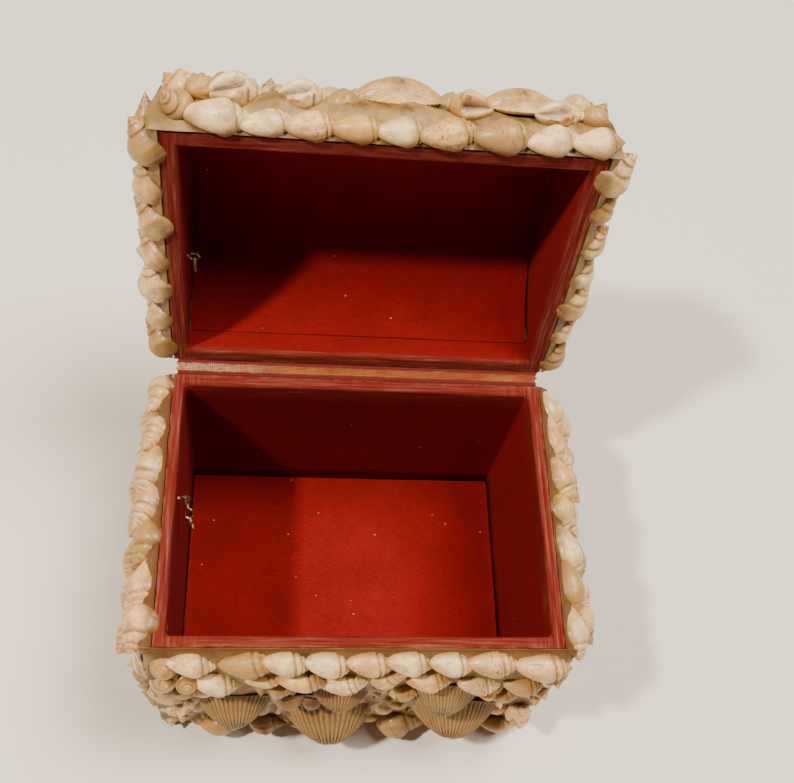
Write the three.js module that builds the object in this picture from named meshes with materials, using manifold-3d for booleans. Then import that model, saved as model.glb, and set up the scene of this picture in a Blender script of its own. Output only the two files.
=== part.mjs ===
import * as THREE from 'three';
import { mergeVertices } from 'three/addons/utils/BufferGeometryUtils.js';
import Module from 'manifold-3d';

// Shell box: a card casket with an arched lid on a cloth hinge, lined in red and set with sea shells.
// Millimetres. X runs along the front, Y to the back, Z up. The origin is the centre of the underside.

// Casket
const BOX_WIDTH = 120;
const BOX_DEPTH = 88;
const BASE_HEIGHT = 76;
const BASE_CARD = 2.4;
const FLOOR_CARD = 2.8;
const LID_CARD = 3.4;
const LID_HEIGHT = 39.5;
const LID_SIDE_HEIGHT = 8.8;
const LINING = 0.8;
const FIT_GAP = 0.3;
const RIM_CLEARANCE = 0.6;

// Cloth hinge
const LID_OPEN_ANGLE = 101.5;
const HINGE_SETBACK = 2.9;
const TAPE_THICKNESS = 0.5;
const TAPE_REACH = 8.5;
const TAPE_END_INSET = 0.5;
const TAPE_FOLD_GAP = 0.4;

// Broken stay chain
const STAY_WIRE = 0.7;
const STAY_EYE = 3.2;
const STAY_PLAY = 0.3;
const BASE_STAY_LINKS = [4.2, 4.2, 4.2];
const BASE_STAY_LEAN = [-38, -12, 0];
const BASE_STAY_SETBACK = 3;
const BASE_STAY_DROP = 4.5;
const BASE_LINK_NARROW = 0.62;
const LID_STAY_LINKS = [7.5];
const LID_STAY_SETBACK = 5;
const LID_STAY_RISE = 6.5;
const LID_LINK_NARROW = 0.3;
const LINK_OVERLAP = 0.14;
const WIRE_SIDES = 4;
const RING_SIDES = 6;

// Shell coat
const GLUE_BED = 0.7;
const CROWD_BED = 3.4;
const FRONT_SWELL = 2.2;
const BED_EDGE = 0.6;
const SHELL_SINK = 0.18;
const CROWD_SINK = 0.33;
const BASE_ROW_DROP = 3.4;
const LID_ROW_DROP = 2.4;
const RIM_GIRTH = 8.6;
const BACK_MARGIN = 9.5;
const CORNER_REACH = 3;
const FRONT_GIRTH = 9;
const SIDE_GIRTH = 10.4;
const SIDE_PITCH = 12.6;
const ROW_LEAN = 8;
const ROW_SEEDS = 17;
const FAN_GIRTH = 22;
const FAN_SPACING = 1.25;
const FAN_COLUMNS = 16;
const FAN_RINGS = [0.42, 0.78, 1];
const FAN_RISE = 0.27;
const FAN_UMBO = 0.36;
const FAN_RIB = 0.035;
const FAN_DOME_POWER = 2.4;
const FAN_UMBO_RISE = 0.84;
const SMALL_FAN_LONG = 0.84;
const SMALL_FAN_COLUMNS = 8;
const SMALL_FAN_RINGS = [0.6, 1];
const FAN_CLEARANCE_RISE = 1.2;
const SEAT_SINK = 0.9;
const FOOT_MARGIN = 1;
const DOWN_SCATTER = 0.6;
const GIRTH_SCATTER = 0.07;
const TURN_SCATTER = 14;
const SNAIL_WIDTH = 1.12;
const SPINDLE_LENGTH = 1.6;
const RIM_WHELK_SIDES = 6;
const SMALL_SPINDLE_SIDES = 5;
const SNAIL_SIDES = 5;
const RIM_GIRTH_SCATTER = 0.05;
const ROW_TOUCH = 1.1;
const ARCH_SIDES = 14;
const ARCH_STEP = 8;
const ARCH_CHORD_SAG = 0.2;

// Profiles turned about each shell's own axis: share of its length or girth, and radius or height
const RIM_PROFILE = [[0, 0], [0.26, 0.26], [0.54, 0.5], [0.84, 0.34], [1, 0]];
const SMALL_PROFILE = [[0, 0], [0.34, 0.36], [0.68, 0.5], [1, 0]];
const SNAIL_PROFILE = [[0, 0.8], [0.32, 0.55], [0.5, 0], [0, 0]];

// Lengths of the whelks along the two front rims, from left to right
const BASE_RIM_WHELKS = [13.3, 15.6, 12.9, 13.1, 14.1, 14.2, 13.3, 14.6, 17.5];
const LID_RIM_WHELKS = [16.7, 12.4, 13.4, 13, 13.2, 15.9, 16.9, 16.4, 13.2];

// Large fan shells: place across as a share of the half width and down as a share of the panel,
// width as a share of the usual fan, turn from upright in degrees, and length as a share of the width
const BASE_FRONT_FANS = [
  { name: 'base_front_ark_1', across: -0.617, down: 0.513, width: 1.045, turn: 188, long: 0.72 },
  { name: 'base_front_ark_2', across: -0.075, down: 0.375, width: 0.864, turn: 174, long: 0.6 },
  { name: 'base_front_ark_3', across: -0.11, down: 0.697, width: 1.4, turn: 188, long: 0.66 },
  { name: 'base_front_cockle_1', across: 0.45, down: 0.368, width: 1.091, turn: 185, long: 0.7 },
  { name: 'base_front_cockle_2', across: 0.57, down: 0.66, width: 1.36, turn: 176, long: 0.76 },
];
const LID_FRONT_FANS = [
  { name: 'lid_front_cockle_1', across: 0.047, down: 0.582, width: 1.227, turn: 184, long: 0.8 },
  { name: 'lid_front_cockle_2', across: 0.65, down: 0.557, width: 1.045, turn: 175, long: 0.82 },
];

// Bands of the coat over the lid, as shares of the way from its front rim to its back, with their rows
const MIXED = [['snail', 'spindle'], ['spindle']];
const FANS = [['fan']];
const LID_BANDS = [
  { name: 'lid_front_coat', start: 0, end: 0.27, rows: 2, count: 11, kinds: MIXED },
  { name: 'lid_upper_front_coat', start: 0.27, end: 0.38, rows: 1, count: 9, kinds: MIXED },
  { name: 'lid_crown_coat', start: 0.38, end: 0.59, rows: 1, count: 5, kinds: FANS },
  { name: 'lid_upper_back_coat', start: 0.59, end: 0.8, rows: 1, count: 5, kinds: FANS },
  { name: 'lid_back_coat', start: 0.8, end: 1, rows: 1, count: 5, kinds: FANS },
];

// First numbers of the scatter for each panel
const RIM_SEEDS = { base: 1, lid: 11 };
const FRONT_SEED = 20;
const LEFT_SEED = 100;
const RIGHT_SEED = 200;
const BACK_SEED = 300;
const LID_SEED = 400;
const LID_END_SEEDS = { left: 700, right: 800 };

const FINISHES = {
  card: { color: 0xa88a62, roughness: 0.9 },
  lining: { color: 0xa01418, roughness: 0.95 },
  tape: { color: 0xc98a54, roughness: 0.95 },
  brass: { color: 0xb08a3c, roughness: 0.35, metalness: 0.9 },
  shell: { color: 0xd9c6a0, roughness: 0.5 },
  whelk: { color: 0xe6d9bc, roughness: 0.4 },
  fan: { color: 0xcdb48a, roughness: 0.45 },
};

const wasm = await Module();
wasm.setup();

const halfWidth = BOX_WIDTH / 2;
const halfDepth = BOX_DEPTH / 2;
const radians = THREE.MathUtils.degToRad;
const hingeY = halfDepth + HINGE_SETBACK;
const hingeZ = BASE_HEIGHT + RIM_CLEARANCE / 2;
const lidRimZ = BASE_HEIGHT + RIM_CLEARANCE;
const bedTop = FIT_GAP + GLUE_BED;
const crowdTop = FIT_GAP + CROWD_BED;
const rimReach = (RIM_GIRTH * (1 + RIM_GIRTH_SCATTER)) / 2 + FIT_GAP;
const baseRimBand = BASE_ROW_DROP + rimReach;
const lidRimBand = LID_ROW_DROP + rimReach;

const archRise = LID_HEIGHT - LID_SIDE_HEIGHT;
const archRadius = (halfDepth ** 2 + archRise ** 2) / (2 * archRise);
const archCentre = LID_HEIGHT - archRadius;
const archHalfAngle = Math.asin(halfDepth / archRadius);
const archLength = 2 * archRadius * archHalfAngle;
const profileLength = archLength + 2 * LID_SIDE_HEIGHT;

/** Repeatable scatter between -1 and 1 for the shell numbered n. */
function scatter(n) {
  const s = Math.sin(n * 12.9898) * 43758.5453;
  return 2 * (s - Math.floor(s)) - 1;
}

/** Closed solid from any closed geometry, moved by a matrix. */
function solidOf(geometry, matrix = new THREE.Matrix4()) {
  const bare = geometry.clone().applyMatrix4(matrix);
  bare.deleteAttribute('normal');
  bare.deleteAttribute('uv');
  const merged = mergeVertices(bare, 1e-4);
  const index = Array.from(merged.index.array);
  const kept = [];
  for (let i = 0; i < index.length; i += 3) {
    const [a, b, c] = index.slice(i, i + 3);
    if (a !== b && b !== c && c !== a) kept.push(a, b, c);
  }
  const vertProperties = new Float32Array(merged.attributes.position.array);
  const mesh = new wasm.Mesh({ numProp: 3, vertProperties, triVerts: new Uint32Array(kept) });
  return new wasm.Manifold(mesh);
}

/** Triangle mesh of a solid. */
function geometryOf(solid) {
  const mesh = solid.getMesh();
  const geometry = new THREE.BufferGeometry();
  geometry.setAttribute('position', new THREE.BufferAttribute(new Float32Array(mesh.vertProperties), 3));
  geometry.setIndex(new THREE.BufferAttribute(new Uint32Array(mesh.triVerts), 1));
  geometry.computeVertexNormals();
  return geometry;
}

/** Box between two corners. */
function boxBetween(lo, hi) {
  const size = hi.map((v, i) => v - lo[i]);
  const middle = hi.map((v, i) => (v + lo[i]) / 2);
  return solidOf(new THREE.BoxGeometry(...size), new THREE.Matrix4().makeTranslation(...middle));
}

/** Solid of one Y-Z outline carried along X between two places. */
function alongX(outline, x0, x1) {
  const shape = new THREE.Shape(outline.map(([y, z]) => new THREE.Vector2(y, z)));
  const geometry = new THREE.ExtrudeGeometry(shape, { depth: x1 - x0, bevelEnabled: false, steps: 1 });
  const axes = new THREE.Matrix4().set(0, 0, 1, x0, 1, 0, 0, 0, 0, 1, 0, 0, 0, 0, 0, 1);
  return solidOf(geometry, axes);
}

/** Lid section, inset evenly from the outside and open at the rim plane below. */
function lidOutline(inset, bottom) {
  const radius = archRadius - inset;
  const side = halfDepth - inset;
  const half = Math.asin(side / radius);
  const points = [[side, bottom]];
  for (let i = 0; i <= ARCH_SIDES; i += 1) {
    const angle = half - (2 * half * i) / ARCH_SIDES;
    points.push([radius * Math.sin(angle), archCentre + radius * Math.cos(angle)]);
  }
  points.push([-side, bottom]);
  return points;
}

// Shells

/** Spindle shell lying along X with its spire at +X, built from rings of a turned profile. */
function spindleGeometry(length, girth, sides, profile) {
  const points = profile.map(([along, radius]) => new THREE.Vector2(radius * girth, (0.5 - along) * length));
  points.reverse();
  const geometry = new THREE.LatheGeometry(points, sides);
  return geometry.rotateZ(-Math.PI / 2);
}

/** Snail seen from its apex: a low turned dome with its flat underside at z = 0. */
function snailGeometry(girth, sides) {
  const points = SNAIL_PROFILE.map(([radius, height]) => new THREE.Vector2(radius * girth, height * girth));
  points.reverse();
  return new THREE.LatheGeometry(points, sides).rotateX(Math.PI / 2);
}

/** Ribbed fan shell: ribs run from the umbo near +Y to an oval margin, flat underside at z = 0. */
function fanGeometry(width, long, columns, rings) {
  const umbo = [0, FAN_UMBO * long * width, FAN_UMBO_RISE * FAN_RISE * width];
  const points = [umbo];
  rings.forEach((share) => {
    for (let i = 0; i < columns; i += 1) {
      const angle = (2 * Math.PI * i) / columns;
      const rib = i % 2 ? 1 : 1 - FAN_RIB;
      const x = (width / 2) * Math.sin(angle) * rib;
      const y = (-long * width * Math.cos(angle) * rib) / 2;
      const dome = FAN_RISE * width * (1 - share ** FAN_DOME_POWER) * (i % 2 ? 1 : 1 - 2 * FAN_RIB);
      points.push([x * share, umbo[1] + (y - umbo[1]) * share, share === 1 ? 0 : dome]);
    }
  });
  points.push([0, 0, 0]);
  const last = points.length - 1;
  const faces = [];
  for (let i = 0; i < columns; i += 1) {
    const next = (i + 1) % columns;
    faces.push([0, 1 + i, 1 + next]);
    for (let ring = 1; ring < rings.length; ring += 1) {
      const a = 1 + (ring - 1) * columns;
      const b = a + columns;
      faces.push([a + i, b + i, b + next], [a + i, b + next, a + next]);
    }
    const foot = 1 + (rings.length - 1) * columns;
    faces.push([foot + i, last, foot + next]);
  }
  const geometry = new THREE.BufferGeometry();
  geometry.setAttribute('position', new THREE.Float32BufferAttribute(points.flat(), 3));
  geometry.setIndex(faces.flat());
  return geometry;
}

/** Place on a panel: a matrix whose X runs across, Y up towards the rim or crown, Z out of the face. */
function panelFrame(point, across, out, turn) {
  const up = new THREE.Vector3().crossVectors(out, across);
  const basis = new THREE.Matrix4().makeBasis(across, up, out).setPosition(point);
  return basis.multiply(new THREE.Matrix4().makeRotationZ(turn));
}

/** Flat panel: across u and down v from its top middle. */
function flatPanel(origin, across, out) {
  const a = new THREE.Vector3(...across);
  const n = new THREE.Vector3(...out);
  const down = new THREE.Vector3().crossVectors(a, n);
  return (u, v, turn = 0) => {
    const point = new THREE.Vector3(...origin).addScaledVector(a, u).addScaledVector(down, v);
    return panelFrame(point, a, n, turn);
  };
}

/** Point and outward normal on the lid's section, v millimetres from the front rim. */
function lidProfile(v) {
  if (v < LID_SIDE_HEIGHT) return { y: -halfDepth, z: v, ny: -1, nz: 0 };
  if (v > profileLength - LID_SIDE_HEIGHT) return { y: halfDepth, z: profileLength - v, ny: 1, nz: 0 };
  const angle = (v - LID_SIDE_HEIGHT) / archRadius - archHalfAngle;
  const ny = Math.sin(angle);
  const nz = Math.cos(angle);
  return { y: archRadius * ny, z: archCentre + archRadius * nz, ny, nz };
}

/** Arched panel over the lid: across u, and v measured over the arch from the front rim. */
function archPanel(u, v, turn = 0) {
  const { y, z, ny, nz } = lidProfile(v);
  const out = new THREE.Vector3(0, ny, nz);
  return panelFrame(new THREE.Vector3(u, y, z), new THREE.Vector3(1, 0, 0), out, turn);
}

/** Shell of one kind, sunk a little into the bed, in the panel's own axes. */
function smallShell(kind, size, girth) {
  const raise = (height) => new THREE.Matrix4().makeTranslation(0, 0, crowdTop + height);
  if (kind === 'snail') {
    return solidOf(snailGeometry(SNAIL_WIDTH * girth, SNAIL_SIDES), raise(-CROWD_SINK * girth));
  }
  if (kind === 'fan') {
    const fan = fanGeometry(size, SMALL_FAN_LONG, SMALL_FAN_COLUMNS, SMALL_FAN_RINGS);
    return solidOf(fan, raise(-SEAT_SINK));
  }
  const spindle = spindleGeometry(size, girth, SMALL_SPINDLE_SIDES, SMALL_PROFILE);
  return solidOf(spindle, raise((0.5 - CROWD_SINK) * girth));
}

/** Row of shells on a panel between two places across, leaving out any that a kept-out solid meets. */
function shellRow(panel, row, keepOut = []) {
  const { from, to, down, count, girth, kinds, seed, turn = 0 } = row;
  const pitch = (to - from) / count;
  const solids = [];
  for (let i = 0; i < count; i += 1) {
    const kind = kinds[i % kinds.length];
    const n = seed + i;
    const u = from + pitch * (i + 0.5);
    const v = down + DOWN_SCATTER * scatter(n + 0.4);
    const fat = girth * (1 + GIRTH_SCATTER * scatter(n + 0.7));
    const size = kind === 'fan' ? girth : Math.min(pitch * ROW_TOUCH, fat * SPINDLE_LENGTH);
    const lean = radians(turn + TURN_SCATTER * scatter(n)) * (kind === 'fan' ? 0.5 : 1);
    const shell = smallShell(kind, size, fat).transform(panel(u, v, lean).elements);
    if (!keepOut.some((solid) => !shell.intersect(solid).isEmpty())) solids.push(shell);
  }
  return solids;
}

/** One body of a glue bed and the shells set in it. */
function coat(bed, rows) {
  return rows.flat().reduce((body, shell) => body.add(shell), bed);
}

/** Centres and lengths of unequal whelks that together fill a span. */
function fillSpan(lengths, from, to) {
  const scale = (to - from) / lengths.reduce((a, b) => a + b, 0);
  let start = from;
  return lengths.map((length) => {
    const middle = start + (length * scale) / 2;
    start += length * scale;
    return { middle, length: length * scale - FIT_GAP };
  });
}

/** Half space under the bed's face, which flattens the seat of a shell that is a piece of its own. */
function seatCut(reach) {
  return boxBetween([-reach, -reach, -reach], [reach, reach, bedTop + FIT_GAP]);
}

const group = new THREE.Group();
const pivot = new THREE.Group();
pivot.position.set(0, hingeY, hingeZ);
pivot.rotation.x = -radians(LID_OPEN_ANGLE);
const lidGroup = new THREE.Group();
lidGroup.position.set(0, -hingeY, lidRimZ - hingeZ);
pivot.add(lidGroup);
group.add(pivot);

/** Adds one named piece. */
function addPiece(parent, name, solid, finish) {
  const mesh = new THREE.Mesh(geometryOf(solid), new THREE.MeshStandardMaterial(finish));
  mesh.name = name;
  parent.add(mesh);
}

// Base carcass and linings
const baseCardTop = BASE_HEIGHT - LINING - FIT_GAP;
const baseOuter = boxBetween([-halfWidth, -halfDepth, 0], [halfWidth, halfDepth, baseCardTop]);
const baseCavity = (inset, floor) => boxBetween(
  [-halfWidth + inset, -halfDepth + inset, floor],
  [halfWidth - inset, halfDepth - inset, BASE_HEIGHT + 1],
);
addPiece(group, 'base_carcass', baseOuter.subtract(baseCavity(BASE_CARD, FLOOR_CARD)), FINISHES.card);

const liningFloor = FLOOR_CARD + FIT_GAP;
const liningOuterInset = BASE_CARD + FIT_GAP;
const liningInnerInset = liningOuterInset + LINING;
const baseSleeve = boxBetween(
  [-halfWidth + liningOuterInset, -halfDepth + liningOuterInset, liningFloor],
  [halfWidth - liningOuterInset, halfDepth - liningOuterInset, BASE_HEIGHT],
);
const baseRimCap = boxBetween(
  [-halfWidth, -halfDepth, BASE_HEIGHT - LINING],
  [halfWidth, halfDepth, BASE_HEIGHT],
);
const baseWallLining = baseSleeve.add(baseRimCap).subtract(baseCavity(liningInnerInset, 0));
addPiece(group, 'base_wall_lining', baseWallLining, FINISHES.lining);
const floorInset = liningInnerInset + FIT_GAP;
addPiece(group, 'base_floor_lining', boxBetween(
  [-halfWidth + floorInset, -halfDepth + floorInset, liningFloor],
  [halfWidth - floorInset, halfDepth - floorInset, liningFloor + LINING],
), FINISHES.lining);

// Lid carcass and linings, in lid coordinates with the rim plane at z = 0
const lidCardBottom = LINING + FIT_GAP;
const lidOuter = alongX(lidOutline(0, lidCardBottom), -halfWidth, halfWidth);
const lidCavity = (inset, bottom) => alongX(lidOutline(inset, bottom), -halfWidth + inset, halfWidth - inset);
addPiece(lidGroup, 'lid_carcass', lidOuter.subtract(lidCavity(LID_CARD, -1)), FINISHES.card);

const lidLiningOuter = LID_CARD + FIT_GAP;
const lidLiningInner = lidLiningOuter + LINING;
const lidRimCap = boxBetween([-halfWidth, -halfDepth, 0], [halfWidth, halfDepth, LINING]);
const lidLiner = lidCavity(lidLiningOuter, 0).add(lidRimCap).subtract(lidCavity(lidLiningInner, -1));
const vaultRegion = (gap) => boxBetween(
  [-halfWidth + lidLiningInner + gap, -halfDepth, LID_SIDE_HEIGHT + gap],
  [halfWidth - lidLiningInner - gap, halfDepth, LID_HEIGHT],
);
addPiece(lidGroup, 'lid_wall_lining', lidLiner.subtract(vaultRegion(0)), FINISHES.lining);
addPiece(lidGroup, 'lid_vault_lining', lidLiner.intersect(vaultRegion(FIT_GAP)), FINISHES.lining);

// Cloth hinge: one flap glued down each back wall, its lip reaching to the fold
const tapeHalf = halfWidth - TAPE_END_INSET;
const tapeY = halfDepth + FIT_GAP;
const lipEnd = hingeY - TAPE_FOLD_GAP;
const lipGap = RIM_CLEARANCE / 2;
const tapeBox = (y1, z0, z1) => boxBetween([-tapeHalf, tapeY, z0], [tapeHalf, y1, z1]);
const baseFlap = tapeBox(tapeY + TAPE_THICKNESS, BASE_HEIGHT - TAPE_REACH, BASE_HEIGHT);
const baseLip = tapeBox(lipEnd, BASE_HEIGHT - TAPE_THICKNESS, BASE_HEIGHT);
addPiece(group, 'hinge_tape_base_flap', baseFlap.add(baseLip), FINISHES.tape);
const lidFlap = tapeBox(tapeY + TAPE_THICKNESS, lipGap, TAPE_REACH);
const lidLip = tapeBox(lipEnd, lipGap, lipGap + TAPE_THICKNESS);
addPiece(lidGroup, 'hinge_tape_lid_flap', lidFlap.add(lidLip), FINISHES.tape);

// Broken stay chain: an eye in each left wall, with the few links that still hang from it
const wireRing = (radius) => new THREE.TorusGeometry(radius, STAY_WIRE / 2, WIRE_SIDES, RING_SIDES);

/** Eye and hanging links, with the wall at x = 0 and the chain hanging along -Z before it is placed. */
function stayEnd(parent, prefix, place, links, narrow, lean) {
  const eyeX = FIT_GAP + STAY_WIRE + STAY_EYE / 2;
  const eye = solidOf(wireRing(STAY_EYE / 2).rotateX(Math.PI / 2).translate(eyeX, 0, 0));
  const half = STAY_WIRE / 2;
  const shank = boxBetween([FIT_GAP, -half, -half], [FIT_GAP + 2 * STAY_WIRE, half, half]);
  addPiece(parent, `${prefix}_eye`, eye.add(shank).transform(place.elements), FINISHES.brass);

  const hold = new THREE.Matrix4().makeTranslation(eyeX, 0, -STAY_EYE / 2)
    .multiply(new THREE.Matrix4().makeRotationFromEuler(new THREE.Euler(...lean.map(radians))));
  let top = STAY_WIRE + STAY_PLAY;
  const chain = links.map((length, i) => {
    const quarter = Math.PI / 2;
    const link = wireRing(length / 2).scale(1, narrow, 1).rotateY(quarter).rotateZ(i % 2 ? quarter : 0);
    const solid = solidOf(link, new THREE.Matrix4().makeTranslation(0, 0, top - length / 2));
    top -= length - STAY_WIRE + LINK_OVERLAP;
    return solid;
  });
  const links3d = chain.reduce((all, link) => all.add(link));
  const placed = links3d.transform(hold.elements).transform(place.elements);
  addPiece(parent, `${prefix}_links`, placed, FINISHES.brass);
}

const baseStayPlace = new THREE.Matrix4().makeTranslation(
  -halfWidth + liningInnerInset,
  BASE_STAY_SETBACK,
  BASE_HEIGHT - BASE_STAY_DROP,
);
stayEnd(group, 'base_stay', baseStayPlace, BASE_STAY_LINKS, BASE_LINK_NARROW, BASE_STAY_LEAN);
const lidStayPlace = new THREE.Matrix4()
  .makeTranslation(-halfWidth + lidLiningInner, LID_STAY_SETBACK, LID_STAY_RISE)
  .multiply(new THREE.Matrix4().makeRotationX(radians(LID_OPEN_ANGLE)));
stayEnd(lidGroup, 'lid_stay', lidStayPlace, LID_STAY_LINKS, LID_LINK_NARROW, [0, 0, 0]);

const frontEdge = -halfWidth;
const frontFrom = frontEdge + CORNER_REACH;
const frontTo = halfWidth + CORNER_REACH;

/** Whelks as pieces of their own along a front rim. */
function rimWhelks(parent, prefix, panel, drop, lengths, seed) {
  fillSpan(lengths, frontFrom, frontTo).forEach(({ middle, length }, i) => {
    const girth = RIM_GIRTH * (1 + RIM_GIRTH_SCATTER * scatter(seed + i));
    const turned = spindleGeometry(length, girth, RIM_WHELK_SIDES, RIM_PROFILE);
    const raised = solidOf(turned.translate(0, 0, bedTop + (0.5 - SHELL_SINK) * girth));
    const whelk = raised.subtract(seatCut(length));
    const place = panel(middle, drop, 0);
    addPiece(parent, `${prefix}_${i + 1}`, whelk.transform(place.elements), FINISHES.whelk);
  });
}

/** Large fan shells as pieces of their own, and the solids that keep the small shells clear of them. */
function fanShells(parent, panel, height, fans) {
  return fans.map(({ name, across, down, width: share, turn, long }) => {
    const width = share * FAN_GIRTH;
    const place = panel(across * halfWidth, down * height, radians(turn)).elements;
    const seat = new THREE.Matrix4().makeTranslation(0, 0, crowdTop + FIT_GAP);
    const fan = solidOf(fanGeometry(width, long, FAN_COLUMNS, FAN_RINGS), seat);
    addPiece(parent, name, fan.transform(place), FINISHES.fan);
    const clear = fanGeometry(width + 2 * FIT_GAP, long, FAN_COLUMNS, FAN_RINGS);
    clear.scale(1, 1, FAN_CLEARANCE_RISE).translate(0, 0, crowdTop - FIT_GAP);
    return solidOf(clear).transform(place);
  });
}

/** Bed of glue on a flat panel, from u0 to u1 across and v0 to v1 down, thin above the place v. */
function flatBed(panel, u0, u1, v0, v1, v = v0, top = crowdTop) {
  const bed = boxBetween([u0, -v1, FIT_GAP], [u1, -v0, bedTop]);
  return bed.add(boxBetween([u0, -v1, FIT_GAP], [u1, -v, top])).transform(panel(0, 0, 0).elements);
}

/** Solid that keeps the small shells off the row of whelks along a front rim. */
function rimKeepOut(panel, drop) {
  const reach = BOX_WIDTH;
  const half = RIM_GIRTH / 2 + FIT_GAP;
  const bar = boxBetween([-reach, -half, bedTop], [reach, half, reach]);
  return bar.transform(panel(0, drop, 0).elements);
}

// Base panels
const baseFront = flatPanel([0, -halfDepth, BASE_HEIGHT], [1, 0, 0], [0, -1, 0]);
const swollenFront = flatPanel([0, -halfDepth - FRONT_SWELL, BASE_HEIGHT], [1, 0, 0], [0, -1, 0]);
const baseBack = flatPanel([0, halfDepth, BASE_HEIGHT], [-1, 0, 0], [0, 1, 0]);
const baseLeft = flatPanel([-halfWidth, 0, BASE_HEIGHT], [0, -1, 0], [-1, 0, 0]);
const baseRight = flatPanel([halfWidth, 0, BASE_HEIGHT], [0, 1, 0], [1, 0, 0]);
const bedFoot = BASE_HEIGHT - BED_EDGE;
const lastRow = bedFoot - SIDE_GIRTH / 2 - FOOT_MARGIN;

rimWhelks(group, 'base_rim_whelk', baseFront, BASE_ROW_DROP, BASE_RIM_WHELKS, RIM_SEEDS.base);
const baseFans = fanShells(group, swollenFront, BASE_HEIGHT, BASE_FRONT_FANS);
const baseKeepOut = [rimKeepOut(baseFront, BASE_ROW_DROP), ...baseFans];

/** Rows of mixed small shells over a panel, each row an even pitch below the one before. */
function mixedRows(panel, { from, to, first, last, rows, count, girth, kinds, seed }, keepOut = []) {
  const solids = [];
  for (let row = 0; row < rows; row += 1) {
    const share = rows > 1 ? row / (rows - 1) : 0;
    const inset = row % 2 ? (to - from) / count / 4 : 0;
    solids.push(shellRow(panel, {
      from: from + inset,
      to: to - inset,
      down: first + (last - first) * share,
      count: count - (row % 2),
      girth,
      kinds: kinds[row % kinds.length],
      seed: seed + ROW_SEEDS * row,
      turn: (row % 2 ? -1 : 1) * ROW_LEAN,
    }, keepOut));
  }
  return solids;
}

const frontTop = crowdTop + FRONT_SWELL;
const frontBed = flatBed(baseFront, frontEdge, frontTo, BED_EDGE, bedFoot, baseRimBand, frontTop);
const frontRows = mixedRows(swollenFront, {
  from: frontEdge,
  to: frontTo,
  first: BASE_ROW_DROP + RIM_GIRTH,
  last: lastRow,
  rows: 6,
  count: 11,
  girth: FRONT_GIRTH,
  kinds: [['spindle'], ['snail'], ['snail', 'spindle']],
  seed: FRONT_SEED,
}, baseKeepOut);
addPiece(group, 'base_front_coat', coat(frontBed, frontRows), FINISHES.shell);

/** Rows for a flat panel: small shells along its edges and fans over its middle. */
function panelRows(panel, half, first, last, fanRows, seed) {
  const small = (down, count, kinds, step, turn = 0) => shellRow(panel, {
    from: -half, to: half, girth: SIDE_GIRTH, down, count, kinds, seed: seed + step * ROW_SEEDS, turn,
  });
  const perRow = Math.round((2 * half) / SIDE_PITCH);
  const fans = Math.floor((2 * half) / (FAN_GIRTH * FAN_SPACING));
  const upper = first + (fanRows > 1 ? 0 : SIDE_PITCH);
  const lower = last - (fanRows > 1 ? 0 : SIDE_PITCH);
  const rows = [
    small(first, perRow, ['spindle'], 0, ROW_LEAN),
    small(last, perRow - 1, ['spindle'], 1, -ROW_LEAN),
  ];
  if (fanRows === 1) {
    rows.push(small(upper, perRow - 1, ['snail', 'spindle'], 2));
    rows.push(small(lower, perRow - 1, ['spindle', 'snail'], 3));
  }
  const middleBand = lower - upper - SIDE_GIRTH;
  for (let row = 0; row < fanRows; row += 1) {
    const down = upper + SIDE_GIRTH / 2 + (middleBand * (row + 0.5)) / fanRows;
    rows.push(shellRow(panel, {
      from: -half,
      to: half,
      down,
      count: fans,
      girth: FAN_GIRTH,
      kinds: ['fan'],
      seed: seed + (4 + row) * ROW_SEEDS,
    }));
  }
  return rows;
}

const sideHalf = halfDepth - FIT_GAP;
const sideFirst = BED_EDGE + SIDE_GIRTH / 2;
const baseSides = [['base_left_coat', baseLeft, LEFT_SEED], ['base_right_coat', baseRight, RIGHT_SEED]];
baseSides.forEach(([name, panel, seed]) => {
  const bed = flatBed(panel, -sideHalf, sideHalf, BED_EDGE, bedFoot);
  const shells = panelRows(panel, sideHalf, sideFirst, lastRow, 1, seed);
  addPiece(group, name, coat(bed, shells), FINISHES.shell);
});
const backBed = flatBed(baseBack, -halfWidth, halfWidth, BACK_MARGIN, bedFoot);
const backRows = panelRows(baseBack, halfWidth, BACK_MARGIN + SIDE_GIRTH / 2, lastRow, 2, BACK_SEED);
addPiece(group, 'base_back_coat', coat(backBed, backRows), FINISHES.shell);

// Lid panels
rimWhelks(lidGroup, 'lid_rim_whelk', archPanel, LID_ROW_DROP, LID_RIM_WHELKS, RIM_SEEDS.lid);
const lidFans = fanShells(lidGroup, archPanel, LID_HEIGHT, LID_FRONT_FANS);
const lidKeepOut = [rimKeepOut(archPanel, LID_ROW_DROP), ...lidFans];

/** Bed of glue of one thickness over the lid's section between two places on the arch. */
function archBed(x0, x1, v0, v1, top) {
  const steps = Math.max(1, Math.ceil((v1 - v0) / ARCH_STEP));
  const places = [];
  for (let i = 0; i <= steps; i += 1) places.push(v0 + ((v1 - v0) * i) / steps);
  if (v0 < LID_SIDE_HEIGHT) places.push(LID_SIDE_HEIGHT);
  if (v1 > profileLength - LID_SIDE_HEIGHT) places.push(profileLength - LID_SIDE_HEIGHT);
  places.sort((a, b) => a - b);
  const offset = (v, n) => {
    const { y, z, ny, nz } = lidProfile(v);
    return [y + ny * n, z + nz * n];
  };
  const outer = places.map((v) => offset(v, top));
  const inner = places.map((v) => offset(v, FIT_GAP + ARCH_CHORD_SAG)).reverse();
  return alongX([...outer, ...inner], x0, x1);
}

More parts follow.
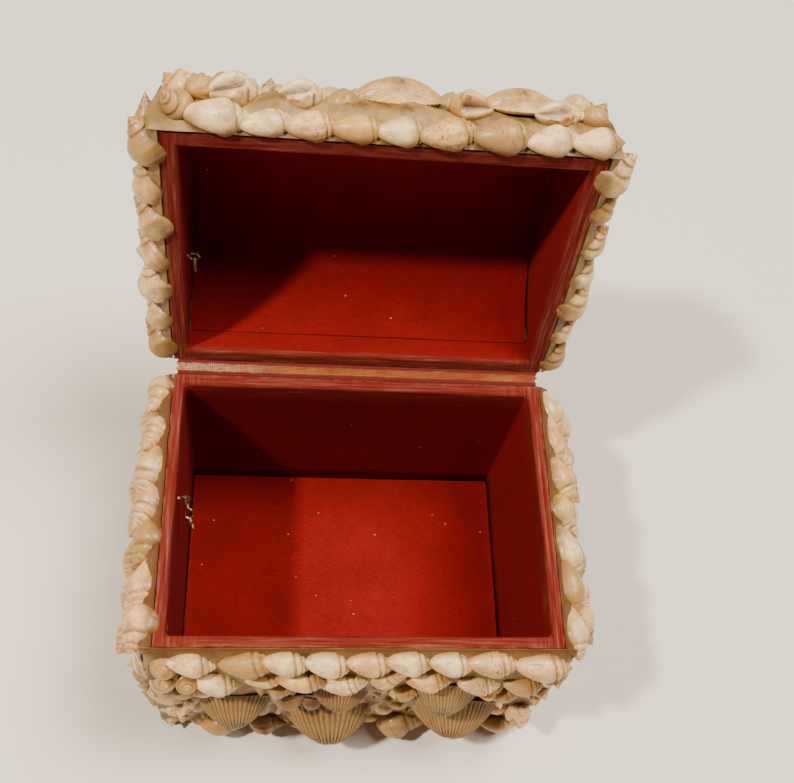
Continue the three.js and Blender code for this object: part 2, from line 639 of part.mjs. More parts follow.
const crownEnd = profileLength - BACK_MARGIN;
const rowSeedsPerBand = 3 * ROW_SEEDS;
LID_BANDS.forEach(({ name, start, end, rows, count, kinds }, band) => {
  const front = band === 0;
  const v0 = front ? BED_EDGE : start * crownEnd + FIT_GAP;
  const v1 = end * crownEnd;
  const from = front ? frontEdge : -halfWidth;
  const to = front ? frontTo : halfWidth;
  const girth = kinds[0][0] === 'fan' ? FAN_GIRTH : SIDE_GIRTH;
  const clearOfRim = LID_ROW_DROP + RIM_GIRTH;
  const first = front ? clearOfRim : v0 + (v1 - v0) / (2 * rows);
  const last = v1 - (v1 - v0 - (front ? clearOfRim - SIDE_GIRTH / 2 : 0)) / (2 * rows);
  const seed = LID_SEED + band * rowSeedsPerBand;
  const layout = { from, to, first, last, rows, count, girth, kinds, seed };
  const shells = mixedRows(archPanel, layout, front ? lidKeepOut : []);
  const bed = archBed(from, to, front ? lidRimBand : v0, v1, crowdTop);
  const whole = front ? bed.add(archBed(from, to, v0, lidRimBand + FIT_GAP, bedTop)) : bed;
  addPiece(lidGroup, name, coat(whole, shells), FINISHES.shell);
});

/** Arched end of the lid: a bed of the section's outline with rows that narrow to the crown. */
function lidEnd(name, side, seed) {
  const x0 = side < 0 ? -halfWidth - crowdTop : halfWidth + FIT_GAP;
  const bed = alongX(lidOutline(FIT_GAP, BED_EDGE), x0, x0 + CROWD_BED);
  const panel = flatPanel([side * halfWidth, 0, 0], [0, side, 0], [side, 0, 0]);
  const shells = [];
  const rows = Math.floor((LID_HEIGHT - BED_EDGE) / SIDE_PITCH);
  for (let row = 0; row < rows; row += 1) {
    const height = sideFirst + row * SIDE_PITCH;
    const crown = Math.max(height + SIDE_GIRTH / 3, LID_SIDE_HEIGHT);
    const half = Math.sqrt(archRadius ** 2 - (crown - archCentre) ** 2) - FIT_GAP;
    shells.push(shellRow(panel, {
      from: -half,
      to: half,
      down: -height,
      count: Math.round((2 * half) / SIDE_PITCH),
      girth: SIDE_GIRTH,
      kinds: row ? ['snail', 'spindle'] : ['spindle'],
      seed: seed + ROW_SEEDS * row,
    }));
  }
  addPiece(lidGroup, name, coat(bed, shells), FINISHES.shell);
}
lidEnd('lid_left_coat', -1, LID_END_SEEDS.left);
lidEnd('lid_right_coat', 1, LID_END_SEEDS.right);

export default group;
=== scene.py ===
import logging
import math
from dataclasses import dataclass, field
from enum import Enum
from typing import Callable, Sequence

import bpy
import numpy as np
from mathutils import Matrix, Vector


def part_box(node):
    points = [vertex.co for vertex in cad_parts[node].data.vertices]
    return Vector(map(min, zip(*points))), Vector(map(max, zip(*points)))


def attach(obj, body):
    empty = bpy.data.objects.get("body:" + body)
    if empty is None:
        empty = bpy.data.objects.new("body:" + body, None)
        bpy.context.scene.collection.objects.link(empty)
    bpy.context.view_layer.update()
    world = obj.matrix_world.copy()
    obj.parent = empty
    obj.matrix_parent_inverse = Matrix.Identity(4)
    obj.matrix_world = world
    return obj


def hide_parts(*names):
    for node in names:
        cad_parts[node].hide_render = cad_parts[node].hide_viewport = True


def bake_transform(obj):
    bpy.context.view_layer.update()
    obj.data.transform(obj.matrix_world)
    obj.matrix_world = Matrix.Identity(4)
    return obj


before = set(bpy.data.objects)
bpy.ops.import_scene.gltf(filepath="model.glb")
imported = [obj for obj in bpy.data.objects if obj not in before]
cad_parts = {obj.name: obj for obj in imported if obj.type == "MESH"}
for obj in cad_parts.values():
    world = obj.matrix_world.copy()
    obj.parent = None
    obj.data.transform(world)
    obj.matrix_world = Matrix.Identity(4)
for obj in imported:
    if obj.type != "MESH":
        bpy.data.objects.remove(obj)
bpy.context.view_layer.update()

LOG = logging.getLogger("shell_box")
MM = 0.001
Colour = tuple[float, float, float]
Value = bpy.types.NodeSocket | float
Shade = bpy.types.NodeSocket | Colour


def deselect() -> None:
    """Leave nothing selected, so that the next operator acts only on its own piece."""
    if bpy.context.object and bpy.context.object.mode != "OBJECT":
        bpy.ops.object.mode_set(mode="OBJECT")
    bpy.ops.object.select_all(action="DESELECT")


def pick(piece: bpy.types.Object) -> None:
    """Make one piece the only selected and the active one.

    Args:
        piece: the piece.
    """
    deselect()
    piece.select_set(True)
    bpy.context.view_layer.objects.active = piece


def places(piece: bpy.types.Object) -> np.ndarray:
    """Vertex places of a piece as rows of x, y, z in metres.

    Args:
        piece: the piece.

    Returns:
        One row a vertex.
    """
    flat = np.empty(len(piece.data.vertices) * 3)
    piece.data.vertices.foreach_get("co", flat)
    return flat.reshape(-1, 3)


def set_places(piece: bpy.types.Object, spots: np.ndarray) -> None:
    """Move the vertices of a piece to new places."""
    piece.data.vertices.foreach_set("co", np.ascontiguousarray(spots, dtype=float).ravel())
    piece.data.update()


def select_edges(piece: bpy.types.Object, test: Callable[[Vector, Vector], bool]) -> int:
    """Select the edges of a piece whose two ends pass a test, in edge mode.

    Args:
        piece: the active piece.
        test: takes the two end points and says whether the edge is wanted.

    Returns:
        How many edges were selected.
    """
    bpy.ops.object.mode_set(mode="EDIT")
    bpy.ops.mesh.select_mode(type="EDGE")
    bpy.ops.mesh.select_all(action="DESELECT")
    bpy.ops.object.mode_set(mode="OBJECT")
    spots = piece.data.vertices
    wanted = [e for e in piece.data.edges if test(spots[e.vertices[0]].co, spots[e.vertices[1]].co)]
    for edge in wanted:
        edge.select = True
    bpy.ops.object.mode_set(mode="EDIT")
    return len(wanted)


def close_up(piece: bpy.types.Object, smooth_angle: float = 60.0) -> None:
    """Merge doubles, point the faces out and shade the piece smooth up to an angle in degrees.

    Args:
        piece: the piece.
        smooth_angle: edges turned by more degrees than this stay sharp.
    """
    pick(piece)
    bpy.ops.object.mode_set(mode="EDIT")
    bpy.ops.mesh.select_all(action="SELECT")
    bpy.ops.mesh.remove_doubles(threshold=1e-7)
    bpy.ops.mesh.normals_make_consistent(inside=False)
    bpy.ops.object.mode_set(mode="OBJECT")
    bpy.ops.object.shade_smooth_by_angle(angle=math.radians(smooth_angle))


def thicken(piece: bpy.types.Object, thickness: float, offset: float) -> None:
    """Give an open sheet its thickness with an applied Solidify modifier, in metres.

    Args:
        piece: the piece.
        thickness: its thickness in metres.
        offset: -1 to grow inwards, 1 outwards and 0 both ways.
    """
    pick(piece)
    wall = piece.modifiers.new("wall", "SOLIDIFY")
    wall.thickness = thickness
    wall.offset = offset
    wall.use_even_offset = True
    bpy.ops.object.modifier_apply(modifier=wall.name)


def ripple(spots: np.ndarray, size: float, seed: float) -> np.ndarray:
    """Smooth repeatable unevenness between about -1 and 1.

    Args:
        spots: places in metres.
        size: distance over which it changes, in metres.
        seed: number that shifts the pattern.

    Returns:
        One value a place.
    """
    p = spots / size
    total = np.zeros(len(spots))
    for i, gain in enumerate((0.5, 0.3, 0.2)):
        k = 1.0 + 1.7 * i
        total += gain * np.sin(k * (p[:, 0] * 1.3 + p[:, 1] * 0.7) + seed * 3.1 + i)
        total += gain * np.sin(k * (p[:, 1] * 1.1 - p[:, 2] * 1.7) + seed * 5.3 + 2 * i)
        total += gain * np.sin(k * (p[:, 2] * 1.2 + p[:, 0] * 1.9) + seed * 7.7 + 3 * i)
    return total / 2.0


def paint(piece: bpy.types.Object, name: str, values: np.ndarray) -> None:
    """Write a colour attribute, one value of four numbers for each vertex."""
    layer = piece.data.attributes.get(name) or piece.data.attributes.new(name, "FLOAT_COLOR", "POINT")
    layer.data.foreach_set("color", np.ascontiguousarray(values, dtype=np.float32).ravel())


def scatter(n: float) -> float:
    """Repeatable scatter between -1 and 1 for the shell numbered n."""
    s = math.sin(n * 12.9898) * 43758.5453
    return 2 * (s - math.floor(s)) - 1


class Nodes:
    """A procedural material under construction, with short names for its nodes."""

    def __init__(self, name: str) -> None:
        """Start an empty material with one shader.

        Args:
            name: name of the material.
        """
        self.material = bpy.data.materials.new(name)
        self.material.use_nodes = True
        self.tree = self.material.node_tree
        self.tree.nodes.clear()
        self.shader = self.tree.nodes.new("ShaderNodeBsdfPrincipled")
        output = self.tree.nodes.new("ShaderNodeOutputMaterial")
        self.tree.links.new(self.shader.outputs["BSDF"], output.inputs["Surface"])

    def link(self, source: bpy.types.NodeSocket, target: bpy.types.NodeSocket) -> None:
        """Join two sockets."""
        self.tree.links.new(source, target)

    def settings(self, **values: float) -> None:
        """Set constant numbers on the shader's own sockets, with underscores for spaces."""
        for key, value in values.items():
            self.shader.inputs[key.replace("_", " ")].default_value = value

    def coords(self, scale: tuple[float, float, float], source: str = "Object") -> bpy.types.NodeSocket:
        """Coordinates of the piece stretched by a scale.

        Args:
            scale: stretch along each axis.
            source: Object for places in metres, or UV for the piece's own map.

        Returns:
            The coordinates' socket.
        """
        places_node = self.tree.nodes.new("ShaderNodeTexCoord")
        mapping = self.tree.nodes.new("ShaderNodeMapping")
        mapping.inputs["Scale"].default_value = scale
        self.link(places_node.outputs[source], mapping.inputs["Vector"])
        return mapping.outputs["Vector"]

    def attribute(self, name: str) -> tuple[bpy.types.NodeSocket, dict[str, bpy.types.NodeSocket]]:
        """A painted attribute's colour, and its parts by the names r, g, b and a.

        Args:
            name: name of the attribute.

        Returns:
            The colour's socket, and its parts by name.
        """
        node = self.tree.nodes.new("ShaderNodeAttribute")
        node.attribute_name = name
        split = self.tree.nodes.new("ShaderNodeSeparateColor")
        self.link(node.outputs["Color"], split.inputs["Color"])
        parts = dict(zip("rgb", split.outputs))
        parts["a"] = node.outputs["Alpha"]
        return node.outputs["Color"], parts

    def noise(self, vector: bpy.types.NodeSocket, scale: float, detail: float) -> bpy.types.NodeSocket:
        """Noise over a vector.

        Args:
            vector: coordinates that it is laid over.
            scale: how finely it is divided.
            detail: how many finer layers it has.

        Returns:
            The noise's socket.
        """
        node = self.tree.nodes.new("ShaderNodeTexNoise")
        node.inputs["Scale"].default_value = scale
        node.inputs["Detail"].default_value = detail
        node.inputs["Roughness"].default_value = 0.6
        self.link(vector, node.inputs["Vector"])
        return node.outputs["Fac"]

    def grain(self, scale: float | tuple[float, float, float], detail: float) -> bpy.types.NodeSocket:
        """Noise over object coordinates, with one scale or one for each axis."""
        return self.noise(self.coords(scale if isinstance(scale, tuple) else (scale,) * 3), 1.0, detail)

    def cells(self, vector: bpy.types.NodeSocket, scale: float) -> bpy.types.NodeSocket:
        """Distance to scattered points over a vector.

        Args:
            vector: coordinates that it is laid over.
            scale: how finely it is divided.

        Returns:
            The distance's socket.
        """
        node = self.tree.nodes.new("ShaderNodeTexVoronoi")
        node.inputs["Scale"].default_value = scale
        self.link(vector, node.inputs["Vector"])
        return node.outputs["Distance"]

    def step(self, value: bpy.types.NodeSocket, low: float, high: float) -> bpy.types.NodeSocket:
        """Value spread so that low gives 0 and high gives 1, held between them.

        Args:
            value: the value to spread.
            low: the value that gives 0.
            high: the value that gives 1.

        Returns:
            The spread value's socket.
        """
        node = self.tree.nodes.new("ShaderNodeMapRange")
        node.inputs["From Min"].default_value = low
        node.inputs["From Max"].default_value = high
        self.link(value, node.inputs["Value"])
        return node.outputs["Result"]

    def math(self, kind: str, a: Value, b: Value = 0.0) -> bpy.types.NodeSocket:
        """One sum of two values, of a kind such as MULTIPLY.

        Args:
            kind: the sum, such as MULTIPLY.
            a: first value.
            b: second value.

        Returns:
            The result's socket.
        """
        node = self.tree.nodes.new("ShaderNodeMath")
        node.operation = kind
        for value, socket in zip((a, b), node.inputs):
            if isinstance(value, (int, float)):
                socket.default_value = value
            else:
                self.link(value, socket)
        return node.outputs["Value"]

    def times(self, a: Value, b: Value) -> bpy.types.NodeSocket:
        """Product of two values."""
        return self.math("MULTIPLY", a, b)

    def plus(self, a: Value, b: Value) -> bpy.types.NodeSocket:
        """Sum of two values."""
        return self.math("ADD", a, b)

    def mix(self, share: bpy.types.NodeSocket, a: Shade, b: Shade) -> bpy.types.NodeSocket:
        """Colour between a and b.

        Args:
            share: 0 for a and 1 for b.
            a: a colour or a socket.
            b: a colour or a socket.

        Returns:
            The mixed colour's socket.
        """
        node = self.tree.nodes.new("ShaderNodeMix")
        node.data_type = "RGBA"
        node.clamp_factor = True
        self.link(share, node.inputs[0])
        for value, socket in ((a, node.inputs[6]), (b, node.inputs[7])):
            if isinstance(value, tuple):
                socket.default_value = (*value, 1.0)
            else:
                self.link(value, socket)
        return node.outputs[2]

    def bump(self, height: bpy.types.NodeSocket, strength: float, distance: float) -> None:
        """Bump on the shader; a second call adds to the first.

        Args:
            height: height over the surface.
            strength: strength of the bump, from 0 to 1.
            distance: height of the bump in metres.
        """
        node = self.tree.nodes.new("ShaderNodeBump")
        node.inputs["Strength"].default_value = strength
        node.inputs["Distance"].default_value = distance
        self.link(height, node.inputs["Height"])
        before = self.shader.inputs["Normal"]
        if before.is_linked:
            self.link(before.links[0].from_socket, node.inputs["Normal"])
        self.link(node.outputs["Normal"], before)


@dataclass(frozen=True)
class FlockFinish:
    """Red flocked cloth with a short pile, pale lint, and rims worn pink and glossy.

    The attribute "cloth" holds wear, grain along X, nearness to the outer edge, and a fourth number left at
    zero.
    """

    deep: Colour = (0.12, 0.0038, 0.0045)
    bright: Colour = (0.235, 0.0065, 0.0075)
    worn: Colour = (0.17, 0.03, 0.018)
    pale: Colour = (0.36, 0.14, 0.07)
    lint: Colour = (0.75, 0.42, 0.34)

    def material(self, name: str) -> bpy.types.Material:
        """Build the material.

        Args:
            name: name of the material.

        Returns:
            The material.
        """
        n = Nodes(name)
        _, cloth = n.attribute("cloth")
        wide = n.grain(60, 3)
        along_x = n.grain((450, 2600, 2600), 3)
        along_y = n.grain((2600, 450, 2600), 3)
        fuzz = n.grain(3400, 2)
        grain = n.mix(cloth["g"], along_y, along_x)
        broad = n.times(n.step(wide, 0.3, 0.7), 0.35)
        tone = n.plus(broad, n.times(n.step(grain, 0.32, 0.68), 0.65))
        base = n.mix(tone, self.deep, self.bright)
        fluff = n.step(n.cells(n.coords((95, 120, 100)), 1.0), 0.04, 0.018)
        hairs = n.step(n.grain(1500, 6), 0.72, 0.8)
        base = n.mix(n.times(fluff, 0.5), base, self.lint)
        base = n.mix(n.times(hairs, 0.3), base, self.lint)
        streak_x = n.grain((55, 1500, 900), 4)
        streak_y = n.grain((1500, 55, 55), 4)
        streak = n.mix(cloth["g"], streak_y, streak_x)
        rubbed = n.mix(n.step(streak, 0.35, 0.6), self.deep, self.worn)
        rubbed = n.mix(n.times(n.step(streak, 0.6, 0.72), 0.5), rubbed, self.pale)
        edge = n.times(cloth["b"], n.step(n.grain(260, 3), 0.45, 0.75))
        edge = n.times(edge, 0.5)
        rubbed = n.mix(edge, rubbed, self.pale)
        wear = n.times(cloth["r"], n.step(n.grain(420, 3), 0.12, 0.42))
        n.link(n.mix(wear, base, rubbed), n.shader.inputs["Base Color"])
        gloss = n.times(cloth["r"], n.step(streak, 0.5, 0.62))
        n.link(n.math("SUBTRACT", 0.92, n.times(gloss, 0.55)), n.shader.inputs["Roughness"])
        n.settings(Specular_IOR_Level=0.12)
        n.bump(fuzz, 0.45, 0.0004)
        n.bump(grain, 0.35, 0.0005)
        return n.material


@dataclass(frozen=True)
class TapeFinish:
    """Fine woven tape, tan over orange, rubbed whitish near its left end."""

    thread: Colour = (0.47, 0.165, 0.032)
    gap: Colour = (0.17, 0.04, 0.012)
    stain: Colour = (0.34, 0.05, 0.016)
    lap: Colour = (0.16, 0.012, 0.009)
    rubbed: Colour = (0.58, 0.45, 0.30)

    def material(self, name: str) -> bpy.types.Material:
        """Build the material; the weave follows the cloth's UV map, in threads.

        Args:
            name: name of the material.

        Returns:
            The material.
        """
        n = Nodes(name)
        _, cloth = n.attribute("cloth")
        uv = n.coords((1.0, 1.0, 1.0), "UV")
        split = n.tree.nodes.new("ShaderNodeSeparateXYZ")
        n.link(uv, split.inputs["Vector"])
        warp = n.math("ABSOLUTE", n.math("SINE", n.times(split.outputs["X"], math.pi)))
        weft = n.math("ABSOLUTE", n.math("SINE", n.times(split.outputs["Y"], math.pi)))
        weave = n.times(n.math("POWER", warp, 0.6), n.math("POWER", weft, 0.6))
        uneven = n.grain(900, 3)
        patch = n.grain((75, 160, 160), 4)
        cloth_tone = n.mix(n.step(patch, 0.4, 0.62), self.thread, self.stain)
        cloth_tone = n.mix(n.times(cloth["r"], n.step(uneven, 0.3, 0.6)), cloth_tone, self.rubbed)
        woven = n.mix(n.step(weave, 0.15, 0.75), self.gap, cloth_tone)
        ragged = n.plus(cloth["b"], n.times(n.grain(240, 4), 0.5))
        n.link(n.mix(n.step(ragged, 0.86, 0.98), woven, self.lap), n.shader.inputs["Base Color"])
        n.settings(Roughness=0.88, Sheen_Weight=0.15, Specular_IOR_Level=0.25)
        n.bump(weave, 0.7, 0.0003)
        n.bump(uneven, 0.3, 0.0003)
        return n.material


@dataclass(frozen=True)
class ShellFinish:
    """Varnished sea shell.

    The attribute "tint" holds the shell's own colour and, as its fourth number, the depth of its creases
    and its nearness to the glue, painted darker as dirt and painted shade; "marks" holds speckles,
    streaks, the painted shade of the hollow, and the spire's tint.
    """

    varnish: float = 0.2
    speckle: Colour = (0.22, 0.08, 0.022)
    streak: Colour = (0.38, 0.19, 0.055)
    # Painted shade inside the aperture.
    hollow_shade: Colour = (0.085, 0.045, 0.035)
    # Dirt and painted shade in the creases and low on each shell.
    grime_and_shade: Colour = (0.15, 0.073, 0.018)
    chalk: Colour = (0.88, 0.68, 0.38)
    spire: Colour = (0.40, 0.215, 0.055)

    def material(self, name: str) -> bpy.types.Material:
        """Build the material; growth lines and speckles follow each shell's UV map.

        Args:
            name: name of the material.

        Returns:
            The material.
        """
        n = Nodes(name)
        tint, tint_parts = n.attribute("tint")
        _, marks = n.attribute("marks")
        cloud = n.grain(230, 4)
        pale = n.times(n.step(cloud, 0.38, 0.72), n.times(tint_parts["r"], 0.36))
        tone = n.mix(pale, tint, self.chalk)
        blush = n.noise(n.coords((140, 140, 140)), 1.3, 3)
        tone = n.mix(n.times(n.step(blush, 0.45, 0.62), 0.62), tone, self.streak)
        growth = n.noise(n.coords((34, 3, 1), "UV"), 1.0, 3)
        mottle = n.grain(620, 4)
        tone = n.mix(n.times(n.step(mottle, 0.52, 0.66), 0.45), tone, self.streak)
        tone = n.mix(n.times(marks["g"], n.step(growth, 0.5, 0.66)), tone, self.streak)
        specks = n.step(n.cells(n.coords((15, 26, 1), "UV"), 1.0), 0.36, 0.2)
        patches = n.step(n.grain(260, 2), 0.45, 0.6)
        tone = n.mix(n.times(marks["r"], n.times(specks, patches)), tone, self.speckle)
        grit = n.grain(1600, 3)
        tone = n.mix(marks["a"], tone, self.spire)
        # Creases and the low side of each shell darkened: part dirt, part painted shade.
        crease_dirt_and_shade = n.times(tint_parts["a"], n.step(cloud, 0.15, 0.5))
        tone = n.mix(crease_dirt_and_shade, tone, self.grime_and_shade)
        # Painted shade in the aperture's hollow.
        tone = n.mix(marks["b"], tone, self.hollow_shade)
        n.link(tone, n.shader.inputs["Base Color"])
        rough = n.step(n.grain(500, 3), 0.2, 0.8)
        n.link(n.plus(0.34, n.times(rough, 0.3)), n.shader.inputs["Roughness"])
        n.settings(Coat_Weight=self.varnish, Coat_Roughness=0.2, Specular_IOR_Level=0.4)
        n.bump(growth, 0.12, 0.0006)
        n.bump(cloud, 0.15, 0.0008)
        n.bump(grit, 0.12, 0.0003)
        return n.material


@dataclass(frozen=True)
class GlueFinish:
    """Old amber glue and varnish between the shells."""

    light: Colour = (0.33, 0.205, 0.068)
    dark: Colour = (0.12, 0.06, 0.016)
    # Darker colour of the glue next to the rim.
    rim_side_dark: Colour = (0.12, 0.04, 0.015)

    def material(self, name: str) -> bpy.types.Material:
        """Build the material.

        Args:
            name: name of the material.

        Returns:
            The material.
        """
        n = Nodes(name)
        pool = n.grain(150, 4)
        fine = n.grain(900, 3)
        _, parts = n.attribute("tint")
        tone = n.mix(n.step(pool, 0.35, 0.65), self.dark, self.light)
        # Glue darker next to the rim.
        n.link(n.mix(parts["a"], tone, self.rim_side_dark), n.shader.inputs["Base Color"])
        n.link(n.plus(0.4, n.times(fine, 0.3)), n.shader.inputs["Roughness"])
        n.settings(Coat_Weight=0.12, Coat_Roughness=0.22, Specular_IOR_Level=0.3)
        n.bump(pool, 0.3, 0.0015)
        n.bump(fine, 0.2, 0.0004)
        return n.material


@dataclass(frozen=True)
class BrassFinish:
    """Dull brass wire, tarnished brown in patches."""

    bright: Colour = (0.62, 0.43, 0.17)
    tarnish: Colour = (0.16, 0.095, 0.045)

    def material(self, name: str) -> bpy.types.Material:
        """Build the material.

        Args:
            name: name of the material.

        Returns:
            The material.
        """
        n = Nodes(name)
        patch = n.grain(1400, 4)
        n.link(n.mix(n.step(patch, 0.42, 0.6), self.bright, self.tarnish), n.shader.inputs["Base Color"])
        n.link(n.plus(0.22, n.times(patch, 0.35)), n.shader.inputs["Roughness"])
        n.settings(Metallic=0.9)
        n.bump(patch, 0.2, 0.0002)
        return n.material


@dataclass(frozen=True)
class CardFinish:
    """Buff card, with a fibrous face."""

    light: Colour = (0.46, 0.33, 0.21)
    dark: Colour = (0.28, 0.18, 0.105)

    def material(self, name: str) -> bpy.types.Material:
        """Build the material.

        Args:
            name: name of the material.

        Returns:
            The material.
        """
        n = Nodes(name)
        fibre = n.grain((700, 300, 700), 5)
        stain = n.grain(45, 4)
        tone = n.plus(n.times(fibre, 0.5), n.times(stain, 0.5))
        n.link(n.mix(n.step(tone, 0.38, 0.64), self.dark, self.light), n.shader.inputs["Base Color"])
        n.settings(Roughness=0.9, Specular_IOR_Level=0.2)
        n.bump(fibre, 0.3, 0.0004)
        return n.material


class Finishes:
    """All finishes of the box, built once."""

    def __init__(self) -> None:
        """Build every material."""
        self.flock = FlockFinish().material("red_flock")
        self.tape = TapeFinish().material("woven_tape")
        self.shell = ShellFinish().material("varnished_shell")
        self.glue = GlueFinish().material("amber_glue")
        self.brass = BrassFinish().material("tarnished_brass")
        self.card = CardFinish().material("buff_card")


class ShellKind(Enum):
    """Forms of shell that the box is set with."""

    WHELK = "whelk"
    SNAIL = "snail"
    OPEN = "open"
    KNOBBED = "knobbed"
    DOVE = "dove"
    FAN = "fan"
    ARK = "ark"


@dataclass(frozen=True)
class SpiredForm:
    """A dextral spired shell, one unit long, lying along X with its spire at +X.

    Args:
        girth: width as a share of the length.
        shoulder: place of the widest whorl, from the base end.
        taper: how full the base end is; a small number is full.
        spire: how straight the spire's side is; 1 is a cone.
        shrink: height of a whorl as a share of the one before it.
        bulge: how far the whorls swell between their sutures.
        suture: way from the widest place to where the spire's suture begins.
        ribs: number of ribs along the axis, or none.
        rib_depth: height of those ribs as a share of the radius.
        cords: number of fine cords round the shell, or none.
        mouth: depth of the aperture as a share of the radius.
        knobs: height of knobs on the shoulder as a share of the radius.
        blunt: how blunt and straight-sided the base end is.
    """

    girth: float = 0.58
    shoulder: float = 0.44
    taper: float = 0.72
    spire: float = 1.0
    shrink: float = 0.56
    bulge: float = 0.17
    suture: float = 0.12
    ribs: int = 0
    rib_depth: float = 0.0
    cords: int = 0
    mouth: float = 0.1
    knobs: float = 0.0
    blunt: float = 0.0

    def whorls(self, along: np.ndarray, turn: np.ndarray) -> np.ndarray:
        """Whorls passed at each place: under 0 on the body whorl, then one more at every suture."""
        start = self.shoulder + self.suture
        return np.log(np.maximum(1 - along, 1e-4) / (1 - start)) / math.log(self.shrink) - turn

    def throat(self, along: np.ndarray, round_it: np.ndarray, half: float) -> np.ndarray:
        """How far each place lies in the aperture, from 0 to 1.

        Args:
            along: places along the axis, from 0 at the base end to 1 at the apex.
            round_it: angles round the axis.
            half: half width of the aperture, as an angle.

        Returns:
            One value a place.
        """
        offset = np.mod(round_it + 0.35 + 0.9 * (along - 0.3) + math.pi, 2 * math.pi) - math.pi
        end = self.shoulder + self.suture
        window = np.clip(along / 0.1, 0, 1) * np.clip((end - along) / 0.12, 0, 1)
        return np.exp(-((offset / half) ** 4)) * window

    def template(self, segments: int, rings: int) -> bpy.types.Object:
        """Model the shell once.

        Args:
            segments: columns round the axis.
            rings: rows along the axis.

        Returns:
            The finished shell, with dirt and painted shade in its creases and painted shade in its hollow.
        """
        deselect()
        bpy.ops.mesh.primitive_uv_sphere_add(segments=segments, ring_count=rings, radius=0.5, calc_uvs=True)
        shell = bpy.context.object
        ball = places(shell)
        lat = np.arccos(np.clip(ball[:, 2] / 0.5, -1, 1)) / math.pi
        round_it = np.arctan2(ball[:, 1], ball[:, 0])
        along = 1 - lat**1.35
        s = self.shoulder
        climb = np.clip(along / s, 0, 1)
        low = (1 - self.blunt) * np.sin(math.pi / 2 * climb**self.taper) + self.blunt * climb**0.5
        high = 1 - np.clip((along - s) / (1 - s), 0, 1) ** self.spire
        blend = np.clip((along - s + 0.08) / 0.3, 0, 1)
        round_high = np.sqrt(np.clip(1 - ((along - s) / (1 - s)) ** 2, 0, 1))
        high = high * blend + round_high * (1 - blend)
        radius = np.where(along < s, low, high)
        turn = np.mod(round_it, 2 * math.pi) / (2 * math.pi)
        phase = self.whorls(along, turn + 0.25 * np.sin(round_it - 2.97))
        part = np.mod(phase, 1.0)
        inside = np.sin(math.pi * part**0.75) ** 0.6
        below = np.sin(math.pi / 2 * np.clip(-phase / 0.35, 0, 1)) ** 0.6
        swell = np.where(phase >= 0, inside, below)
        fade = np.clip((1 - along) / 0.04, 0, 1)
        form = 1 + self.bulge * (swell - 0.8) * fade
        if self.ribs:
            wave = np.cos(self.ribs * (round_it + 0.8 * along))
            form = form * (1 + self.rib_depth * wave * np.clip(along / 0.3, 0, 1) * fade * swell)
        if self.cords:
            form = form * (1 + 0.012 * np.cos(2 * math.pi * self.cords * along))
        if self.knobs:
            crest = np.maximum(np.cos(9 * round_it + 3), 0) ** 2 * np.exp(-(((along - s) / 0.09) ** 2))
            form = form * (1 + self.knobs * crest)
        throat = self.throat(along, round_it, 0.42)
        lip = self.throat(along, round_it - 0.62, 0.24)
        form = form * (1 - self.mouth * throat + 0.3 * self.mouth * lip)
        radius = 0.5 * self.girth * radius * form
        bow = 0.03 * np.sin(math.pi * along) * self.girth
        spots = np.stack([along - 0.5, radius * np.cos(round_it) + bow, radius * np.sin(round_it)], axis=1)
        set_places(shell, spots)
        tint = np.ones((len(spots), 4))
        near = np.minimum(part, 1 - part)
        # Darker along the sutures: part dirt, part painted shade in the crease.
        tint[:, 3] = 0.95 * np.exp(-((near / 0.12) ** 2)) * (phase > -0.2) * (along < 0.985)
        paint(shell, "tint", tint)
        marks = np.zeros((len(spots), 4))
        # Painted shade inside the aperture, stronger for a deeper mouth.
        marks[:, 2] = self.throat(along, round_it, 0.34) * min(max(2.6 * self.mouth - 0.55, 0.0), 1.0)
        marks[:, 3] = along
        paint(shell, "marks", marks)
        close_up(shell, 75)
        return shell


